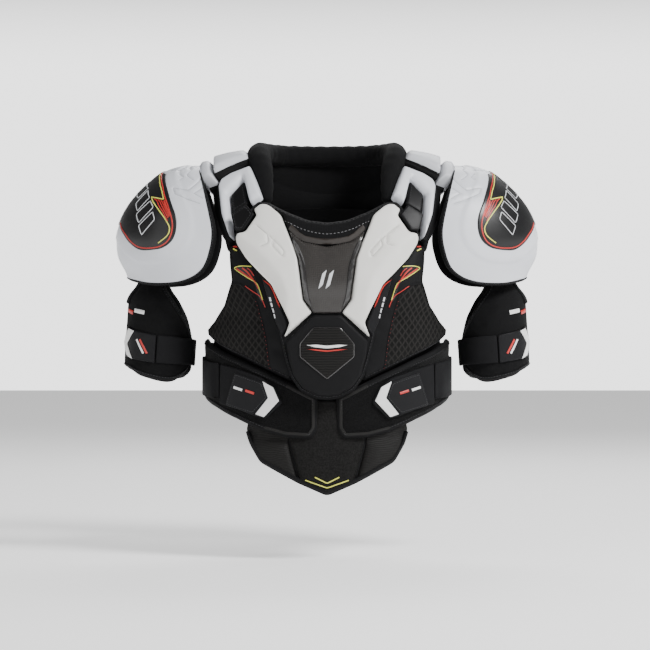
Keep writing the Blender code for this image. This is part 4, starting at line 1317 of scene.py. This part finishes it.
# ------------------------------------------------------------------------- caps
CAP_SHELL = ((-90, 99), (-92, 40), (-92, 26), (-90, 12), (-86, 2), (-78, -6), (-66, -10.5), (-46, -11),
             (-22, -7),
             (0, -4))
CAP_LINER = ((-84, 90), (-84, 30), (-80, 20), (-72, 14), (-48, 12))


def cap_line(rows):
    """Chart points of the cap from degrees and height shares."""
    return [(degrees * CAP_U, share * CAP_V) for degrees, share in rows]


def there_and_back(rows):
    return list(rows) + [(-u, v) for u, v in reversed(rows) if abs(u) > 1e-6]


INLAY = ((206.1, 30.6), (205.4, 18.1), (201.3, 4.3), (195.1, -13.7), (190.9, -26.1), (190.2, -38.5),
         (193, -51),
         (199.2, -59.3), (210.3, -65.5), (228.2, -67.6), (239.3, -66.2), (250.4, -58.6), (260, -46.8),
         (266.2, -33.6))
RED_LINE = ((211, 32), (211.7, 23.7), (208.9, 12.6), (205.4, -1.2), (202.7, -8.1), (199.2, -17.8),
            (195.8, -30.2),
            (195.1, -39.9), (197.8, -51), (203.4, -58.6), (213, -63.4), (226.9, -64.8), (239.3, -62.7),
            (249, -55.8), (257.3, -45.4), (264.2, -31.6))
corner = flow(cap_line(CAP_SHELL[1:]))
shell = there_and_back(cap_line(CAP_SHELL[:1]) + corner)
cap_inside = there_and_back(cap_line(((-89, 98),)) + [(u * 0.985, v + 1.6) for u, v in corner])
inlay = there_and_back([(0.0, float(np.interp(36, CAP_VALUES[:, 0],
                                              CAP_SHARES)) * CAP_V)] + flow(on_cap(INLAY)))
embossed = [on_cap(line) for line in (
    ((175, 43.7), (174.3, 37.5), (180.6, 30.6), (171.6, 23.7)),
    ((188.2, 36.8), (202.7, 36.1)), ((189.5, 32), (184, 27.5), (189.5, 23.7)),
    ((159.8, 26.4), (177.1, 9.8), (196.4, 11.9), (193.7, 4.3), (161.2, -8.1)),
    ((159.1, 12.6), (169.5, 5.7), (157.7, -1.2)))]
embossed += [[(-u, v) for u, v in line] for line in embossed]


def cap_relief(q, d):
    near = np.where(inside(q, inlay), 0.0, line_distance(q, inlay, True))
    return 1.5 - 1.5 * smooth((near - 15.0) / 5.0) + groove(embossed, 1.1, 1.2)(q, d)


on_shell = panel("cap_shell", shell, -6, 0, SHELL, CAP_BODY, cap, gone=("cap_shell_*",), cell=3.2, edge=4,
                 wall=0.4, ease=0, relief=cap_relief, lines=embossed, line_width=1.1)
rim = there_and_back(cap_line(((-90, 90),)) + corner)
bound("cap", rim, -6, 0, 4, on_shell, CAP_BODY, cap, closed=False, wall=0.4, width=4.2, thick=0.8, ease=0)
# Painted shade: darker strips laid along the bottoms of the cap's embossed grooves.
for i, line in enumerate(embossed):
    strip("cap_line_" + str(i), line, 1.0, 0.0, SHELL_GROOVE_SHADE, CAP_BODY, on_shell, thick=0.2, ease=1.5,
          spacing=1.5)
panel("cap_lining", cap_inside, -7.4, -6.1, LINING, CAP_BODY, cap, cell=6.0, edge=1, ease=0, pad=0.3)
liner = there_and_back(cap_line(CAP_LINER))
panel("cap_liner", liner, -16.5, -8, LINING, CAP_BODY, cap, gone=("cap_liner_*",), cell=6.0,
      edge=4, ease=6.0, pad=0.6)
on_inlay = panel("cap_inlay", inlay, 0.9, 2.8, INLAY_GLOSS, CAP_BODY, cap, gone=("cap_inlay_*",), cell=3.0,
                 edge=1.4,
                 ease=3.0)
for sign, end in ((1.0, "front"), (-1.0, "back")):
    def turned(points, sign=sign):
        return [(u * sign, v) for u, v in on_cap(points)]

    strip("cap_red_" + end, flow(turned(RED_LINE)), 1.5, 0.3, RED, CAP_BODY, on_inlay, thick=0.3, ease=0,
          spacing=1.5)
    strip("cap_yellow_" + end, flow(turned(((213.7, 30.6), (213.7, 22.3), (210.3, 8.5),
                                            (206.8, -4)))) + turned(
        ((215.8, -1.9), (223, -0.5))) + flow(turned(
            ((221.3, -5.4), (214.4, -15), (206.1, -26.1), (200.6, -35.1), (198.5, -41.3), (200.6, -48.2),
             (206.1, -53.7), (213, -58.6)))), 1.3, 0.3, YELLOW, CAP_BODY, on_inlay, thick=0.3, ease=0,
          spacing=1.5)
    for i, (line, width) in enumerate((
            (((219.3, -2.9), (215.8, -5.4), (211.7, -13.7), (206.8, -20.6), (201.3, -31.6)), 1.2),
            (((214.4, -4.3), (211.7, -6.7), (208.2, -13.7), (204.1, -20.6), (200.6, -27.5)), 1.2),
            (((210.3, -5.1), (208.2, -8.1), (205.4, -13.7), (202, -20.6), (199.2, -26.1)), 1.2),
            (((206.1, -5.4), (204.7, -10.9), (201.3, -17.8), (197.8, -24.7)), 2.4))):
        strip("cap_hatch_" + str(i) + "_" + end, flow(turned(line)), width, 0.3, RED, CAP_BODY, on_inlay,
              thick=0.3)
    for i, bar in enumerate((
            ((231.7, 22.3), (243.4, 9.2), (240.7, -1.2), (228.2, 11.2)),
            ((228.2, 8.5), (243.4, -8.1), (240.7, -17.8), (225.5, -1.2)),
            ((224.1, -5.4), (242.1, -21.9), (238.6, -33), (219.9, -13.7)),
            ((220.6, -19.2), (238.6, -36.5), (234.5, -48.2), (217.9, -28.9)))):
        strip("cap_bar_" + str(i) + "_" + end, turned(bar), 1.0, 0.3, SILVER, CAP_BODY, on_inlay,
              closed=True,
              thick=0.3, ease=0.8)

# ------------------------------------------------------------------------- arms
ARM_GUARD = (
    (-88, -98), (-96, -112), (-147, -162), (-163, -178), (-167, -200), (-160, -217), (-141, -228),
    (-112, -235), (-60, -227), (-36, -220), (0, -217), (60, -226), (120, -232), (158, -226),
    (166, -205), (166, -188), (140, -152), (100, -112), (90, -98), (0, -97),
)
ARM_STRAP = ((-89, -175.5), (-89, -211), (-196, -216), (-196, -183), (-150, -180))
ARM_TAB = ((-87, -175.5), (-40, -168), (-28, -164), (-15, -184), (-28, -203), (-40, -205), (-87, -211))


def arm_line(rows):
    return [(degrees * ARM_U, z) for degrees, z in rows]


guard = arm_line(ARM_GUARD[:3]) + flow(arm_line(ARM_GUARD[3:16])) + arm_line(ARM_GUARD[16:])
on_guard = panel("bicep_guard", guard, 0, 10, KNIT, ARM_BODY, arm, gone=("bicep_guard_*",), cell=3.2,
                 edge=6,
                 soft=0.0, pad=0.75, inflate=(4.0, 2.0, 14, 0.01))
bound("bicep_guard", guard, 0, 10, 6, on_guard, ARM_BODY, arm, width=6.0, thick=1.1)
panel("webbing_tab", arm_line(((2, -101), (2, -133), (-24, -136), (-28, -107))), 0.3, 2.6, ELASTIC,
      ARM_BODY, on_guard,
      cell=4.0, edge=1.0, wall=0.5, ease=1.0)
for i, (a, b, ink) in enumerate(((-64, -42, WHITE), (-38, -18, RED))):
    strip("bicep_mark_" + str(i), arm_line(((a, -147), (b, -144))), 5.0, 0.4, ink, ARM_BODY, on_guard,
          thick=0.35,
          ease=0)
panel("bicep_strap", arm_line(ARM_STRAP), 10.8, 13.4, ELASTIC, ARM_BODY, arm,
      gone=("bicep_strap_*",), cell=4.0, edge=1.2, wall=0.5)
on_arm_tab = panel("bicep_tab", arm_line(ARM_TAB), 10.8, 13.4, SATIN, "arm_tab_*", arm,
                   gone=("bicep_tab_*",),
                   cell=3.0, edge=1.2, wall=0.5, ease=2.0)
arm_chevron = arm_line(((-47, -170), (-33, -166.5), (-17.5, -184), (-33, -201.5), (-47, -206), (-31, -186)))
for i, ink in enumerate((WHITE, RED)):
    strip("bicep_emblem_" + str(i), arm_line(((-54 - 6 * i, -181), (-68 - 6 * i, -199))), 2.6, 0.3, ink,
          "arm_tab_*",
          on_arm_tab, thick=0.3, ease=0)
panel("bicep_chevron", arm_chevron, -0.4, 0.7, WHITE, "arm_tab_*", on_arm_tab, cell=3.0, edge=0.5, ease=0.8,
      backing=False)


def sling(u, v, h):
    """Short elastic under the cap: across the strap, down the strap, outward."""
    u, v, h = np.broadcast_arrays(np.asarray(u, float), v, h)
    x = np.interp(v, (0, 20, 35, 55), (250.5, 243, 237.5, 231))
    z = np.interp(v, (0, 20, 35, 55), (-51, -68, -81, -100))
    return np.stack([x + h * 0.85, u, z - h * 0.4], axis=-1)


panel("arm_sling", ((-10, 0), (10, 0), (10, 55), (-10, 55)), -1.4, 1.4, ELASTIC, "arm_hanger_*", sling,
      gone=("arm_sling_*",), cell=4.0, edge=1.0, wall=0.5, ease=1.0)

# ------------------------------------------------------------- floor, light, eye
floor = bpy.data.meshes.new("floor")
floor.from_pydata([(-8, -8, -0.46), (8, -8, -0.46), (8, 8, -0.46), (-8, 8, -0.46)], [], [(0, 1, 2, 3)])
ground = bpy.data.objects.new("floor", floor)
paper = bpy.data.materials.new("paper")
paper.use_nodes = True
for socket, value in (("Base Color", (0.93, 0.93, 0.93, 1.0)), ("Roughness", 0.9),
                      ("Emission Color", (1.0, 1.0, 1.0, 1.0)), ("Emission Strength", 0.5)):
    paper.node_tree.nodes["Principled BSDF"].inputs[socket].default_value = value
floor.materials.append(paper)
scene = bpy.context.scene
scene.collection.objects.link(ground)

world = bpy.data.worlds.new("studio")
world.use_nodes = True
world.node_tree.nodes["Background"].inputs["Color"].default_value = (1.0, 1.0, 1.0, 1.0)
sky = world.node_tree
height = sky.nodes.new("ShaderNodeSeparateXYZ")
sky.links.new(sky.nodes.new("ShaderNodeTexCoord").outputs["Generated"], height.inputs[0])
away = sky.nodes.new("ShaderNodeMath")
away.operation = "ABSOLUTE"
sky.links.new(height.outputs[2], away.inputs[0])
band = sky.nodes.new("ShaderNodeMapRange")
band.interpolation_type = "SMOOTHSTEP"
for i, value in enumerate((0.10, 0.17, 2.6, 0.2)):
    band.inputs[i + 1].default_value = value
sky.links.new(away.outputs[0], band.inputs[0])
sky.links.new(band.outputs[0], sky.nodes["Background"].inputs["Strength"])
scene.world = world


def lamp(name, at, to, size, power):
    data = bpy.data.lights.new(name, "AREA")
    data.shape = "RECTANGLE"
    data.size, data.size_y = size
    data.energy = power
    made = bpy.data.objects.new(name, data)
    made.location = at
    made.rotation_euler = (Vector(to) - Vector(at)).to_track_quat("-Z", "Y").to_euler()
    scene.collection.objects.link(made)


lamp("key", (1.7, -1.5, 1.7), (0, 0, -0.1), (0.8, 0.8), 118.0)
lamp("fill", (-2.0, -1.8, 0.8), (0, 0, -0.15), (1.2, 1.6), 9.0)
lamp("rim", (0.4, 2.0, 1.8), (0, 0, 0), (1.8, 1.0), 45.0)

eye = bpy.data.cameras.new("eye")
eye.lens = 136.3
eye.sensor_width = 36.0
camera = bpy.data.objects.new("eye", eye)
camera.location = (-0.0026, -3.2, -0.1625)
camera.rotation_euler = (math.radians(90.0), 0.0, 0.0)
scene.collection.objects.link(camera)
scene.camera = camera
